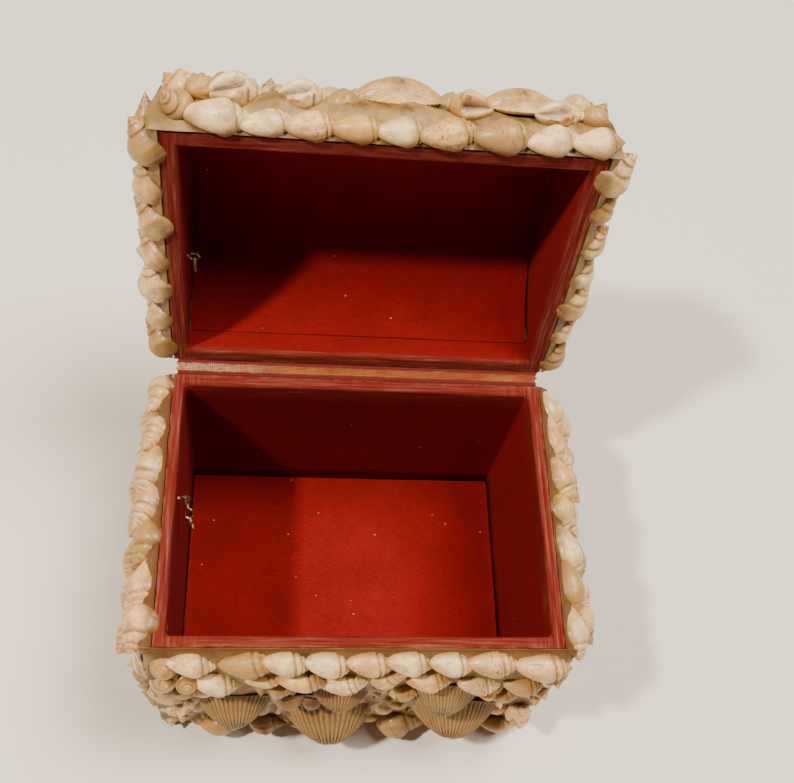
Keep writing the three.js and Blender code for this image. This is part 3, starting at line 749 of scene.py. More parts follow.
@dataclass(frozen=True)
class FanForm:
    """A ribbed fan shell one unit wide: its beak near +Y, its margin round the rest, flat below.

    Args:
        long: length from beak to margin as a share of the width.
        rise: height as a share of the width.
        ribs: number of ribs round the whole margin.
        rib_depth: height of a rib as a share of the width.
        steps: number of growth steps.
        beads: number of beads along a rib.
        beak: distance of the beak from the middle as a share of the length.
    """

    long: float = 0.8
    rise: float = 0.27
    ribs: int = 40
    rib_depth: float = 0.012
    steps: int = 5
    beads: int = 0
    beak: float = 0.36

    def template(self, segments: int, rings: int) -> bpy.types.Object:
        """Model the shell once.

        Args:
            segments: columns round the margin.
            rings: rows from the beak to the margin.

        Returns:
            The finished shell, with painted shade in its grooves.
        """
        deselect()
        bpy.ops.mesh.primitive_uv_sphere_add(segments=segments, ring_count=rings, radius=0.5, calc_uvs=True)
        shell = bpy.context.object
        ball = places(shell)
        lat = np.arccos(np.clip(ball[:, 2] / 0.5, -1, 1)) / math.pi
        turn = np.arctan2(ball[:, 0], -ball[:, 1])
        rim_lat = round(0.82 * rings) / rings
        top = lat <= rim_lat + 1e-4
        share = np.clip(np.where(top, lat / rim_lat, (1 - lat) / (1 - rim_lat)), 0, 1)
        near_beak = np.clip((math.pi - np.abs(turn)) / 0.7, 0, 1)
        wave = np.cos(self.ribs * turn)
        rib = np.sign(wave) * np.abs(wave) ** 0.7 * near_beak
        beak = self.beak * self.long
        edge = 1 + 0.5 * self.rib_depth * rib * top
        x = 0.5 * np.sin(turn) * edge
        y = -0.5 * self.long * np.cos(turn) * edge
        lift = np.clip(share * 3.2, 0, 1)
        to_margin = (0.5 + 0.5 * np.cos(turn)) ** 0.6
        crown = 0.6 * (1 - share) ** 2.5 + 1.6 * to_margin * share**0.45 * (1 - share**2.2)
        dome = self.rise * np.maximum(crown, 0.6 * (1 - share))
        grown = np.mod(share * self.steps + 0.25, 1.0)
        ledge = 0.008 * (1 - grown) * np.clip(share * 2, 0, 1)
        bead = np.cos(2 * math.pi * self.beads * share) * (self.beads > 0)
        height = dome + (self.rib_depth * rib * lift * (1 + 0.8 * bead) + ledge) * (1 - 0.2 * share)
        height = np.where(share > 0.999, 0.012 + np.maximum(self.rib_depth * rib, 0), height)
        spots = np.stack([x * share, beak + (y - beak) * share, np.where(top, height, -0.02)], axis=1)
        set_places(shell, spots)
        # Painted shade in the rib grooves and between the beads, a little everywhere, and more underneath.
        dark = 0.85 * np.clip(-rib, 0, 1) + 0.5 * np.clip(-bead, 0, 1) * np.clip(rib, 0, 1) + 0.12
        tint = np.ones((len(spots), 4))
        tint[:, 3] = np.where(top, dark, 0.6)
        paint(shell, "tint", tint)
        paint(shell, "marks", np.zeros((len(spots), 4)))
        close_up(shell, 70)
        return shell


class Tints:
    """Shell colours seen on the box, as linear colour."""

    WHITE: Colour = (0.90, 0.63, 0.30)
    CREAM: Colour = (0.72, 0.44, 0.155)
    PINK: Colour = (0.80, 0.47, 0.20)
    GOLD: Colour = (0.58, 0.31, 0.062)
    TAN: Colour = (0.40, 0.23, 0.06)
    GREY: Colour = (0.33, 0.205, 0.072)
    BROWN: Colour = (0.23, 0.11, 0.032)
    PURPLE: Colour = (0.07, 0.03, 0.022)
    RIM_MIX: tuple[Colour, ...] = (WHITE, CREAM, WHITE, PINK, WHITE, TAN)
    MIX: tuple[Colour, ...] = (CREAM, TAN, WHITE, GREY, GOLD, CREAM, WHITE, TAN)


@dataclass
class ShellStore:
    """Templates of every form, each modelled once; copies are taken from them.

    Args:
        fine: columns and rows of a spired shell that the photograph shows close to.
        plain: columns and rows of the other spired shells.
        fan_fine: columns and rows of a large fan.
        fan_plain: columns and rows of a small fan.
        plain_from: number at which the plain variants start.
    """

    templates: dict[tuple[ShellKind, int], bpy.types.Object] = field(default_factory=dict)
    fine: tuple[int, int] = (30, 42)
    plain: tuple[int, int] = (18, 24)
    fan_fine: tuple[int, int] = (200, 42)
    fan_plain: tuple[int, int] = (96, 16)
    plain_from: int = 10

    def build(self) -> None:
        """Model all templates."""
        whelk = {"girth": 0.5, "shoulder": 0.5, "taper": 0.9, "spire": 2.0, "suture": 0.07}
        whelk.update(bulge=0.22, blunt=0.7)
        ribbed = {**whelk, "girth": 0.48, "shoulder": 0.52, "shrink": 0.66}
        spired = {
            ShellKind.WHELK: [
                SpiredForm(**{**whelk, "spire": 2.2, "shrink": 0.64, "blunt": 0.6}),
                SpiredForm(**ribbed, ribs=11, rib_depth=0.06),
                SpiredForm(**{**whelk, "shoulder": 0.54, "taper": 0.95, "spire": 1.5, "shrink": 0.62}),
                SpiredForm(girth=0.5, shoulder=0.5, taper=0.95, spire=1.35, shrink=0.72, suture=0.08,
                           bulge=0.2, blunt=0.6),
                SpiredForm(girth=0.52, shoulder=0.53, taper=0.8, spire=2.4, shrink=0.6, suture=0.08,
                           bulge=0.2, blunt=0.5),
                SpiredForm(**{**whelk, "shrink": 0.62, "suture": 0.08, "cords": 12}),
            ],
            ShellKind.SNAIL: [
                SpiredForm(girth=0.8, shoulder=0.38, taper=0.5, spire=1.15, shrink=0.58, bulge=0.24),
                SpiredForm(girth=0.74, shoulder=0.4, taper=0.55, shrink=0.6, bulge=0.26, ribs=14,
                           rib_depth=0.035),
                SpiredForm(girth=0.88, shoulder=0.4, taper=0.5, spire=1.3, shrink=0.52, bulge=0.22,
                           cords=8),
                SpiredForm(girth=0.68, shoulder=0.38, taper=0.55, spire=1.05, shrink=0.6, bulge=0.25,
                           cords=12),
            ],
            ShellKind.OPEN: [
                SpiredForm(girth=0.62, shoulder=0.5, taper=0.75, mouth=0.62, bulge=0.24),
                SpiredForm(girth=0.58, shoulder=0.5, taper=0.75, mouth=0.56, bulge=0.24, ribs=12,
                           rib_depth=0.05),
            ],
            ShellKind.KNOBBED: [
                SpiredForm(girth=0.66, bulge=0.28, ribs=10, rib_depth=0.13, knobs=0.2, mouth=0.15),
                SpiredForm(girth=0.58, bulge=0.22, ribs=13, rib_depth=0.09, mouth=0.12),
            ],
            ShellKind.DOVE: [
                SpiredForm(girth=0.46, shoulder=0.42, taper=0.9, spire=1.3, shrink=0.64, bulge=0.16),
                SpiredForm(girth=0.44, shoulder=0.38, taper=0.8, spire=1.2, shrink=0.66, bulge=0.18),
            ],
        }
        fans = {
            ShellKind.FAN: [
                FanForm(long=0.76, rise=0.34, ribs=54, rib_depth=0.011, beads=18, steps=3),
                FanForm(long=0.8, rise=0.32, ribs=58, rib_depth=0.01, beads=20, steps=3),
                FanForm(long=0.78, rise=0.2, ribs=56, rib_depth=0.01, beads=18, steps=3),
            ],
            ShellKind.ARK: [
                FanForm(long=0.68, rise=0.36, ribs=46, rib_depth=0.014, beads=14, steps=3),
                FanForm(long=0.6, rise=0.34, ribs=44, rib_depth=0.014, beads=12, steps=3),
            ],
        }
        for group, full, small in ((spired, self.fine, self.plain), (fans, self.fan_fine, self.fan_plain)):
            for kind, forms in group.items():
                for number, form in enumerate(forms):
                    self.templates[(kind, number)] = form.template(*full)
                    self.templates[(kind, number + self.plain_from)] = form.template(*small)
        for template in self.templates.values():
            template.hide_set(True)

    def copy(self, kind: ShellKind, number: int, fine: bool) -> bpy.types.Object:
        """Take a copy of a template with its own mesh.

        Args:
            kind: form of shell.
            number: which variant; wrapped to those there are.
            fine: True for the shells that the photograph shows close to.

        Returns:
            The copy, at the origin.
        """
        count = sum(1 for k, n in self.templates if k is kind and n < self.plain_from)
        template = self.templates[(kind, number % count + (0 if fine else self.plain_from))]
        shell = template.copy()
        shell.data = template.data.copy()
        bpy.context.scene.collection.objects.link(shell)
        return shell

    def clear(self) -> None:
        """Remove the templates once every copy is taken."""
        for template in self.templates.values():
            bpy.data.objects.remove(template)
        self.templates.clear()


@dataclass(frozen=True)
class Setting:
    """One shell set on a panel.

    Args:
        kind: form of shell.
        across: place across the panel in mm.
        down: place down the panel, or over the arch, in mm.
        length: length of the shell, or width of a fan, in mm.
        turn: turn in the panel from +X, in degrees.
        tint: its own colour.
        roll: turn about its own axis in degrees; 90 shows the aperture.
        stand: 0 lies in the panel, 90 shows the apex.
        lift: height of its middle over the panel in mm.
        speckle: strength of brown speckles.
        streak: strength of growth streaks.
        variant: which variant of the form.
        fine: True for full detail.
        stretch: girth against the form's own.
        spire_tint: how golden brown the spire is.
    """

    kind: ShellKind
    across: float
    down: float
    length: float
    turn: float = 0.0
    tint: Colour = Tints.CREAM
    roll: float = -100.0
    stand: float = 0.0
    lift: float = 5.0
    speckle: float = 0.0
    streak: float = 0.25
    variant: int = 0
    fine: bool = True
    stretch: float = 1.0
    spire_tint: float = 0.0


@dataclass(frozen=True)
class Panel:
    """A face that shells are set on: a function from across and down in mm to a frame in metres."""

    frame_at: Callable[[float, float], Matrix]

    def local(self, setting: Setting) -> Matrix:
        """Turn, tilt and size of a shell over its own place on the panel.

        Args:
            setting: which shell, where, and how it looks.

        Returns:
            From the template to its place on the panel.
        """
        lift = Matrix.Translation((0, 0, setting.lift * MM))
        turn = Matrix.Rotation(math.radians(setting.turn), 4, "Z")
        if setting.kind in (ShellKind.FAN, ShellKind.ARK):
            tip = Matrix.Rotation(math.radians(setting.stand), 4, "X")
            return lift @ turn @ tip @ Matrix.Scale(setting.length * MM, 4)
        stand = Matrix.Rotation(math.radians(-setting.stand), 4, "Y")
        roll = Matrix.Rotation(math.radians(setting.roll), 4, "X")
        fat = Matrix.Diagonal((1, setting.stretch, setting.stretch, 1))
        return lift @ turn @ stand @ roll @ Matrix.Scale(setting.length * MM, 4) @ fat


def set_shell(store: ShellStore, panel: Panel, setting: Setting) -> bpy.types.Object:
    """Take a shell from the store, place it in its mesh and give it its colours.

    Args:
        store: templates.
        panel: face that it is set on.
        setting: which shell, where, and how it looks.

    Returns:
        The shell, its object at the origin.
    """
    shell = store.copy(setting.kind, setting.variant, setting.fine)
    shell.data.transform(panel.local(setting))
    height = places(shell)[:, 2] / MM
    shell.data.transform(panel.frame_at(setting.across, setting.down))
    count = len(shell.data.vertices)
    tint = np.empty(count * 4, dtype=np.float32)
    shell.data.attributes["tint"].data.foreach_get("color", tint)
    tint = tint.reshape(-1, 4)
    tint[:, :3] = setting.tint
    flat_kind = setting.kind in (ShellKind.FAN, ShellKind.ARK)
    # Darker toward the glue bed: part dirt, part painted shade between the shells.
    grime_and_shade, start, fade = (0.6, 1.0, 3.0) if flat_kind else (0.9, 0.5, 3.6)
    low_dirt_and_shade = grime_and_shade * np.clip((setting.lift + start - height) / fade, 0, 1)
    tint[:, 3] = np.maximum(tint[:, 3], low_dirt_and_shade)
    paint(shell, "tint", tint)
    marks = np.empty(count * 4, dtype=np.float32)
    shell.data.attributes["marks"].data.foreach_get("color", marks)
    marks = marks.reshape(-1, 4)
    marks[:, 0] = setting.speckle
    marks[:, 1] = setting.streak
    marks[:, 3] = setting.spire_tint * np.clip((marks[:, 3] - 0.52) / 0.14, 0, 1)
    paint(shell, "marks", marks)
    return shell


@dataclass(frozen=True)
class BoxSizes:
    """Sizes of the card box, in mm and degrees, as the solids have them.

    Args:
        width: length of the box from left to right.
        depth: depth of the box from front to back.
        base_height: height of the base's card.
        lid_height: height of the lid's card over its rim plane.
        lid_side: height of the lid's upright front and back walls.
        rim_clearance: gap between the two rims when the lid is shut.
        hinge_setback: distance of the hinge axis behind the card.
        open_angle: how far the lid stands open at rest.
        seam_angle: half the least angle between the halves, in radians.
        base_rim: width of the base's rim.
        lid_rim: width of the lid's rim.
        cloth: thickness of the lining cloth.
        back_margin: height beside the back rims that the tape needs.
    """

    width: float = 120.0
    depth: float = 88.0
    base_height: float = 76.0
    lid_height: float = 39.5
    lid_side: float = 8.8
    rim_clearance: float = 0.6
    hinge_setback: float = 2.9
    open_angle: float = 101.5
    seam_angle: float = math.radians(0.93)
    base_rim: float = 3.5
    lid_rim: float = 4.5
    cloth: float = 0.7
    back_margin: float = 9.5

    @property
    def hinge(self) -> Vector:
        """A point on the hinge axis, in mm."""
        return Vector((0, self.depth / 2 + self.hinge_setback, self.base_height + self.rim_clearance / 2))

    @property
    def arch_radius(self) -> float:
        """Outer radius of the lid's arch."""
        rise = self.lid_height - self.lid_side
        return ((self.depth / 2) ** 2 + rise**2) / (2 * rise)

    @property
    def arch_centre(self) -> float:
        """Height of the arch's centre over the lid's rim plane."""
        return self.lid_height - self.arch_radius

    @property
    def profile_length(self) -> float:
        """Way over the lid's outside from its front rim to its back rim."""
        half = math.asin(self.depth / 2 / self.arch_radius)
        return 2 * self.arch_radius * half + 2 * self.lid_side

    def lid_to_row(self) -> Matrix:
        """From the closed lid's own frame, rim plane at zero, in metres, to the open rest pose.

        Returns:
            The move, in metres.
        """
        seat = Matrix.Translation((0, 0, (self.base_height + self.rim_clearance) * MM))
        about = Matrix.Translation(self.hinge * MM)
        swing = Matrix.Rotation(-math.radians(self.open_angle), 4, "X")
        return about @ swing @ about.inverted() @ seat

    def arch_half(self, height: float, inset: float) -> float:
        """Half depth inside the lid at a height over its rim plane, in mm."""
        radius = self.arch_radius - inset
        return math.sqrt(max(radius**2 - (height - self.arch_centre) ** 2, 0.0))


SIZES = BoxSizes()


def frame_matrix(point: Vector, across: Vector, out: Vector) -> Matrix:
    """Frame of a panel at a point in mm: X across, Y up the panel, Z out of it, in metres.

    Args:
        point: point of the face, in mm.
        across: direction of across.
        out: outward direction.

    Returns:
        The frame, in metres.
    """
    up = out.cross(across)
    turn = Matrix((across, up, out)).transposed().to_4x4()
    return Matrix.Translation(point * MM) @ turn


def flat_panel(
    origin: Sequence[float], across: Sequence[float], out: Sequence[float], moved: Matrix
) -> Panel:
    """Panel on a flat face: across from its middle and down from its top, in mm.

    Args:
        origin: top middle of the face.
        across: direction of across.
        out: outward direction.
        moved: where the body that it belongs to lies.

    Returns:
        The panel.
    """
    a, n = Vector(across), Vector(out)
    down = a.cross(n)
    start = Vector(origin)
    return Panel(lambda u, v: moved @ frame_matrix(start + a * u + down * v, a, n))


def arch_panel(moved: Matrix) -> Panel:
    """Panel over the lid's arch: down is the way from the front rim, in mm.

    Args:
        moved: where the body that it belongs to lies.

    Returns:
        The panel.
    """

    def frame_at(u: float, v: float) -> Matrix:
        """Frame at one place of the arch.

        Args:
            u: place across, in mm.
            v: place down, in mm.

        Returns:
            The frame, in metres.
        """
        s = SIZES
        if v < s.lid_side:
            point, out = Vector((u, -s.depth / 2, v)), Vector((0, -1, 0))
        elif v > s.profile_length - s.lid_side:
            point, out = Vector((u, s.depth / 2, s.profile_length - v)), Vector((0, 1, 0))
        else:
            angle = (v - s.lid_side) / s.arch_radius - math.asin(s.depth / 2 / s.arch_radius)
            out = Vector((0, math.sin(angle), math.cos(angle)))
            point = Vector((u, 0, s.arch_centre)) + out * s.arch_radius
        return moved @ frame_matrix(point, Vector((1, 0, 0)), out)

    return Panel(frame_at)


@dataclass
class GlueBed:
    """Uneven bed of glue under one panel's shells.

    Args:
        panel: face that it lies on.
        left, right: ends across, in mm, at a place down the panel.
        top, bottom: ends down, in mm.
        height: mean height in mm.
        pools: thicker places, each across, down, reach and extra height in mm.
        seed: number that shifts its unevenness.
        rim_height, rim_reach: height beside the rim, and how far down the mean height is reached.
        dark_reach: how far down from the rim the glue is coloured darker.
        closed: edges that run down to the card: t, b, l and r for top, bottom, left and right.
        columns, rows: cells across and down.
        foot: height at a closed edge.
        lip: how far from a closed edge the full height is reached.
        least: least height away from the edges.
        thickness: thickness of the glue below its top face.
    """

    panel: Panel
    left: Callable[[float], float]
    right: Callable[[float], float]
    top: float
    bottom: float
    height: float = 2.6
    pools: Sequence[tuple[float, float, float, float]] = ()
    seed: float = 1.0
    rim_height: float = 1.6
    rim_reach: float = 3.0
    dark_reach: float = 3.0
    closed: str = "tblr"
    columns: int = 62
    rows: int = 38
    foot: float = 0.55
    lip: float = 1.9
    least: float = 0.9
    thickness: float = 0.5

    def build(self) -> bpy.types.Object:
        """Model the bed from a grid laid over the panel, then give it its thickness.

        Returns:
            The piece.
        """
        deselect()
        bpy.ops.mesh.primitive_grid_add(x_subdivisions=self.columns, y_subdivisions=self.rows, size=1.0)
        bed = bpy.context.object
        flat = places(bed)
        spots = np.empty_like(flat)
        for i, (x, y, _) in enumerate(flat):
            v = self.top + (self.bottom - self.top) * (0.5 - y)
            u = self.left(v) + (self.right(v) - self.left(v)) * (x + 0.5)
            lumps = self.lump(u, v)
            edge = min(max((v - self.top) / self.rim_reach, 0.0), 1.0)
            height = self.rim_height + (self.height - self.rim_height) * edge + lumps
            for pu, pv, reach, extra in self.pools:
                height += extra * math.exp(-((u - pu) ** 2 + (v - pv) ** 2) / reach**2)
            ways = {"t": v - self.top, "b": self.bottom - v, "l": u - self.left(v), "r": self.right(v) - u}
            border = min(ways[edge_name] for edge_name in self.closed)
            full = max(height, self.least) - self.foot
            seat = self.foot + full * min(max(border / self.lip, 0.0), 1.0) ** 0.5
            spots[i] = self.panel.frame_at(u, v) @ Vector((0, 0, seat * MM))
        set_places(bed, spots)
        thicken(bed, self.thickness * MM, -1.0)
        close_up(bed, 70)
        count = len(bed.data.vertices)
        tint = np.zeros((count, 4))
        down = (0.5 - flat[:, 1]) * (self.bottom - self.top)
        # Glue darker next to the rim, fading out further down.
        tint[: len(flat), 3] = np.clip(1.0 - down / self.dark_reach, 0, 1)
        paint(bed, "tint", tint)
        paint(bed, "marks", np.zeros((count, 4)))
        return bed

    def lump(self, u: float, v: float) -> float:
        """Unevenness of the bed at a place, in mm.

        Args:
            u: place across, in mm.
            v: place down, in mm.

        Returns:
            Extra height in mm.
        """
        s = self.seed
        wave = math.sin(u / 3.1 + s) * math.sin(v / 2.7 + 2 * s) + 0.6 * math.sin(u / 1.7 - v / 2.3 + 3 * s)
        return 0.42 * wave


@dataclass
class Coat:
    """All the small shells and the glue of one panel, joined into one piece."""

    node: str
    body: str
    bed: GlueBed
    settings: list[Setting]

    def build(self, store: ShellStore, finishes: Finishes) -> bpy.types.Object:
        """Set every shell, join them to the bed and let the piece stand for its solid.

        Args:
            store: templates of the shells.
            finishes: all finishes of the box.

        Returns:
            The piece.
        """
        bed = self.bed.build()
        bed.data.materials.append(finishes.shell)
        bed.data.materials.append(finishes.glue)
        bed.data.polygons.foreach_set("material_index", np.ones(len(bed.data.polygons), dtype=np.int32))
        shells = [set_shell(store, self.bed.panel, setting) for setting in self.settings]
        for shell in shells:
            shell.data.materials.append(finishes.shell)
        deselect()
        for shell in shells:
            shell.select_set(True)
        bed.select_set(True)
        bpy.context.view_layer.objects.active = bed
        bpy.ops.object.join()
        self.clear_seam(bed)
        bed.name = f"{self.node}_shells"
        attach(bed, self.body)
        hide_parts(self.node)
        LOG.info("%s: %d shells, %d faces", bed.name, len(shells), len(bed.data.polygons))
        return bed

    def clear_seam(self, coat: bpy.types.Object) -> None:
        """Keep the shells off the table and off the other half when the lid is shut.

        Args:
            coat: the joined coat.
        """
        hinge = SIZES.hinge
        spots = places(coat) / MM
        if self.body == "lid":
            to_row = np.array(SIZES.lid_to_row())
            shift, turn = to_row[:3, 3] / MM, to_row[:3, :3]
            own = (spots - shift) @ turn
            reach = math.tan(SIZES.seam_angle) * (hinge.y - own[:, 1]) - 0.1
            own[:, 2] = np.maximum(own[:, 2], -SIZES.rim_clearance / 2 - reach)
            spots = own @ turn.T + shift
        else:
            reach = math.tan(SIZES.seam_angle) * (hinge.y - spots[:, 1]) - 0.1
            spots[:, 2] = np.clip(spots[:, 2], 0.0, hinge.z + reach)
        set_places(coat, spots * MM)


class CoatPlans:
    """Where the small shells of each panel are set."""

    GIRTH = 9.6

    def fill(
        self,
        width: Callable[[float], tuple[float, float]],
        first: float,
        last: float,
        seed: int,
        girth: float = GIRTH,
        fine: bool = False,
        clear_of: Sequence[tuple[float, float, float]] = (),
    ) -> list[Setting]:
        """Close rows of mixed shells over a panel.

        Args:
            width: left and right end at a place down the panel, in mm.
            first: place of the first row down the panel.
            last: place of the last row.
            seed: first number of the scatter.
            girth: usual girth of a shell.
            fine: True for full detail.
            clear_of: places to leave free, each across, down and reach.

        Returns:
            The shells.
        """
        rows = max(int(round((last - first) / (girth * 0.86))) + 1, 1)
        made = []
        for row in range(rows):
            down = first + (last - first) * (row / (rows - 1) if rows > 1 else 0.0)
            left, right = width(down)
            count = max(int((right - left) / (girth * 1.08)), 1)
            pitch = (right - left) / count
            for i in range(count + 1 - row % 2):
                n = seed + 31 * row + i
                u = left + pitch * (i + 0.5 * (row % 2)) + 1.2 * scatter(n + 0.1)
                v = down + 1.1 * scatter(n + 0.4)
                u = min(max(u, left + 1), right - 1)
                if any((u - a) ** 2 + (v - d) ** 2 < r**2 for a, d, r in clear_of):
                    continue
                made.append(self.one(n, u, v, girth, fine))
        return made

    def one(self, n: int, u: float, v: float, girth: float, fine: bool) -> Setting:
        """One shell of a mixed row, chosen by its number.

        Args:
            n: its number.
            u: place across, in mm.
            v: place down, in mm.
            girth: its usual girth in mm.
            fine: True for full detail.

        Returns:
            The shell.
        """
        draw = 0.5 + 0.5 * scatter(n + 0.77)
        fat = girth * (1 + 0.1 * scatter(n + 0.9))
        tint = Tints.MIX[int((0.5 + 0.5 * scatter(n + 0.55)) * 7.99)]
        common = {
            "across": u,
            "down": v,
            "tint": tint,
            "fine": fine,
            "variant": int((0.5 + 0.5 * scatter(n + 0.33)) * 3),
            "streak": 0.25 + 0.25 * scatter(n + 0.21),
            "speckle": max(0.0, scatter(n + 0.63)),
        }
        turn = 90.0 * round(2 * scatter(n + 0.2)) / 2 + 30 * scatter(n)
        if draw < 0.46:
            common["stand"] = 72 + 18 * scatter(n + 0.8)
            return Setting(ShellKind.SNAIL, length=fat * 1.02, turn=180 * scatter(n), lift=4.6, **common)
        if draw < 0.62:
            common["roll"] = 90 + 25 * scatter(n)
            return Setting(ShellKind.OPEN, length=fat * 1.45, turn=turn, lift=5.0, **common)
        if draw < 0.72:
            return Setting(ShellKind.KNOBBED, length=fat * 1.35, turn=turn, lift=4.8, **common)
        if draw < 0.84:
            return Setting(ShellKind.DOVE, length=fat * 1.6, turn=turn, lift=4.9, **common)
        return Setting(ShellKind.WHELK, length=fat * 1.45, turn=turn, lift=5.0, **common)

    def edge_row(
        self,
        left: float,
        right: float,
        down: float,
        count: int,
        seed: int,
        turn: float,
        lift: float,
        plump_share: float = 0.25,
    ) -> list[Setting]:
        """Row of plump shells along a side rim, their spires to the front and a little out.

        Args:
            left: first end across in mm.
            right: last end across in mm.
            down: place down from the rim in mm.
            count: number of shells.
            seed: first number of the scatter.
            turn: turn that points a spire to the front, in degrees.
            lift: height of their middles over the panel in mm.
            plump_share: share of plump snails among them.

        Returns:
            The shells.
        """
        pitch = (right - left) / count
        made = []
        for i in range(count):
            n = seed + i
            plump = 0.5 + 0.5 * scatter(n + 0.44) < plump_share
            made.append(
                Setting(
                    ShellKind.SNAIL if plump else ShellKind.WHELK,
                    across=left + pitch * (i + 0.5) + 0.5 * scatter(n),
                    down=down + 0.6 * scatter(n + 0.3),
                    length=pitch * (1.2 if plump else 1.55),
                    turn=turn + 8 + 16 * scatter(n + 0.5),
                    stand=(32 if plump else 20) + 12 * scatter(n + 0.6),
                    lift=lift + 0.4 * scatter(n + 0.7),
                    roll=-100 + 40 * scatter(n + 0.8),
                    tint=Tints.RIM_MIX[int((0.5 + 0.5 * scatter(n + 0.15)) * 5.99)],
                    variant=i + seed,
                    streak=0.45,
                    spire_tint=max(0.0, 0.6 * scatter(n + 0.36)),
                )
            )
        return made


@dataclass
class RimRow:
    """The row of whelks along a rim, each a separate piece that stands for its own solid."""

    body: str
    prefix: str
    panel: Panel
    settings: Sequence[Setting]

    def build(self, store: ShellStore, finishes: Finishes) -> None:
        """Set every whelk and let it stand for its solid.

        Args:
            store: templates of the shells.
            finishes: all finishes of the box.
        """
        for number, setting in enumerate(self.settings, start=1):
            node = f"{self.prefix}_{number}"
            shell = set_shell(store, self.panel, setting)
            shell.name = f"{node}_shell"
            shell.data.materials.append(finishes.shell)
            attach(shell, self.body)
            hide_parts(node)
        LOG.info("%s: %d whelks", self.prefix, len(self.settings))


@dataclass
class FanSet:
    """The large ribbed shells, each a separate piece that stands for its own solid."""

    body: str
    panel: Panel
    settings: dict[str, Setting]

    def build(self, store: ShellStore, finishes: Finishes) -> None:
        """Set every fan shell and let it stand for its solid.

        Args:
            store: templates of the shells.
            finishes: all finishes of the box.
        """
        for node, setting in self.settings.items():
            shell = set_shell(store, self.panel, setting)
            shell.name = f"{node}_shell"
            shell.data.materials.append(finishes.shell)
            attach(shell, self.body)
            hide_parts(node)
        LOG.info("%s: %d fan shells", self.body, len(self.settings))


def cloth_paint(cloth: bpy.types.Object, wear: np.ndarray, along_x: np.ndarray, edge: np.ndarray) -> None:
    """Paint a cloth's wear, the direction of its grain, and its nearness to the outer edge.

    Args:
        cloth: the cloth.
        wear: how worn each vertex is, from 0 to 1.
        along_x: 1 where the grain runs along X, or else 0.
        edge: how near the outer edge each vertex is, from 0 to 1.
    """
    values = np.zeros((len(cloth.data.vertices), 4))
    values[:, 0] = wear
    values[:, 1] = along_x
    values[:, 2] = edge
    paint(cloth, "cloth", values)


def dress(node: str, material: bpy.types.Material) -> None:
    """Give a solid of the frame its finish.

    Args:
        node: the solid's name.
        material: its only material.
    """
    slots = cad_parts[node].data.materials
    slots.clear()
    slots.append(material)


def rim_ring(sizes: BoxSizes, rim: float, height: float) -> bpy.types.Object:
    """Flat ring of cloth over the rims of one half.

    Args:
        sizes: sizes of the box.
        rim: width of the rims in mm.
        height: height of the rims in mm.

    Returns:
        The ring, in object mode.
    """
    deselect()
    bpy.ops.mesh.primitive_plane_add(size=1.0, location=(0, 0, height * MM))
    ring = bpy.context.object
    ring.scale = (sizes.width * MM, sizes.depth * MM, 1)
    bpy.ops.object.transform_apply(location=True, rotation=False, scale=True)
    bpy.ops.object.mode_set(mode="EDIT")
    bpy.ops.mesh.select_all(action="SELECT")
    bpy.ops.mesh.inset(thickness=rim * MM)
    bpy.ops.mesh.delete(type="FACE")
    bpy.ops.object.mode_set(mode="OBJECT")
    return ring


def pull_wall(cloth: bpy.types.Object, inner_x: float, height: float, way: float) -> None:
    """Pull the mouth of a rim ring out into a wall and round the fold between them.

    Args:
        cloth: the ring.
        inner_x: half width of the mouth in metres.
        height: height of the rims in metres.
        way: how far the wall goes up, or down with a minus, in mm.
    """

    def on_mouth(a: Vector, b: Vector) -> bool:
        """Whether an edge lies on the mouth or in the wall."""
        return max(abs(a.x), abs(b.x)) < inner_x + 1e-5

    select_edges(cloth, on_mouth)
    bpy.ops.mesh.extrude_region_move(TRANSFORM_OT_translate={"value": (0, 0, way * MM)})
    bpy.ops.object.mode_set(mode="OBJECT")
    select_edges(cloth, lambda a, b: on_mouth(a, b) and max(abs(a.z - height), abs(b.z - height)) < 1e-5)
    bpy.ops.mesh.bevel(offset=1.1 * MM, segments=4, profile=0.5, affect="EDGES")
    bpy.ops.object.mode_set(mode="OBJECT")


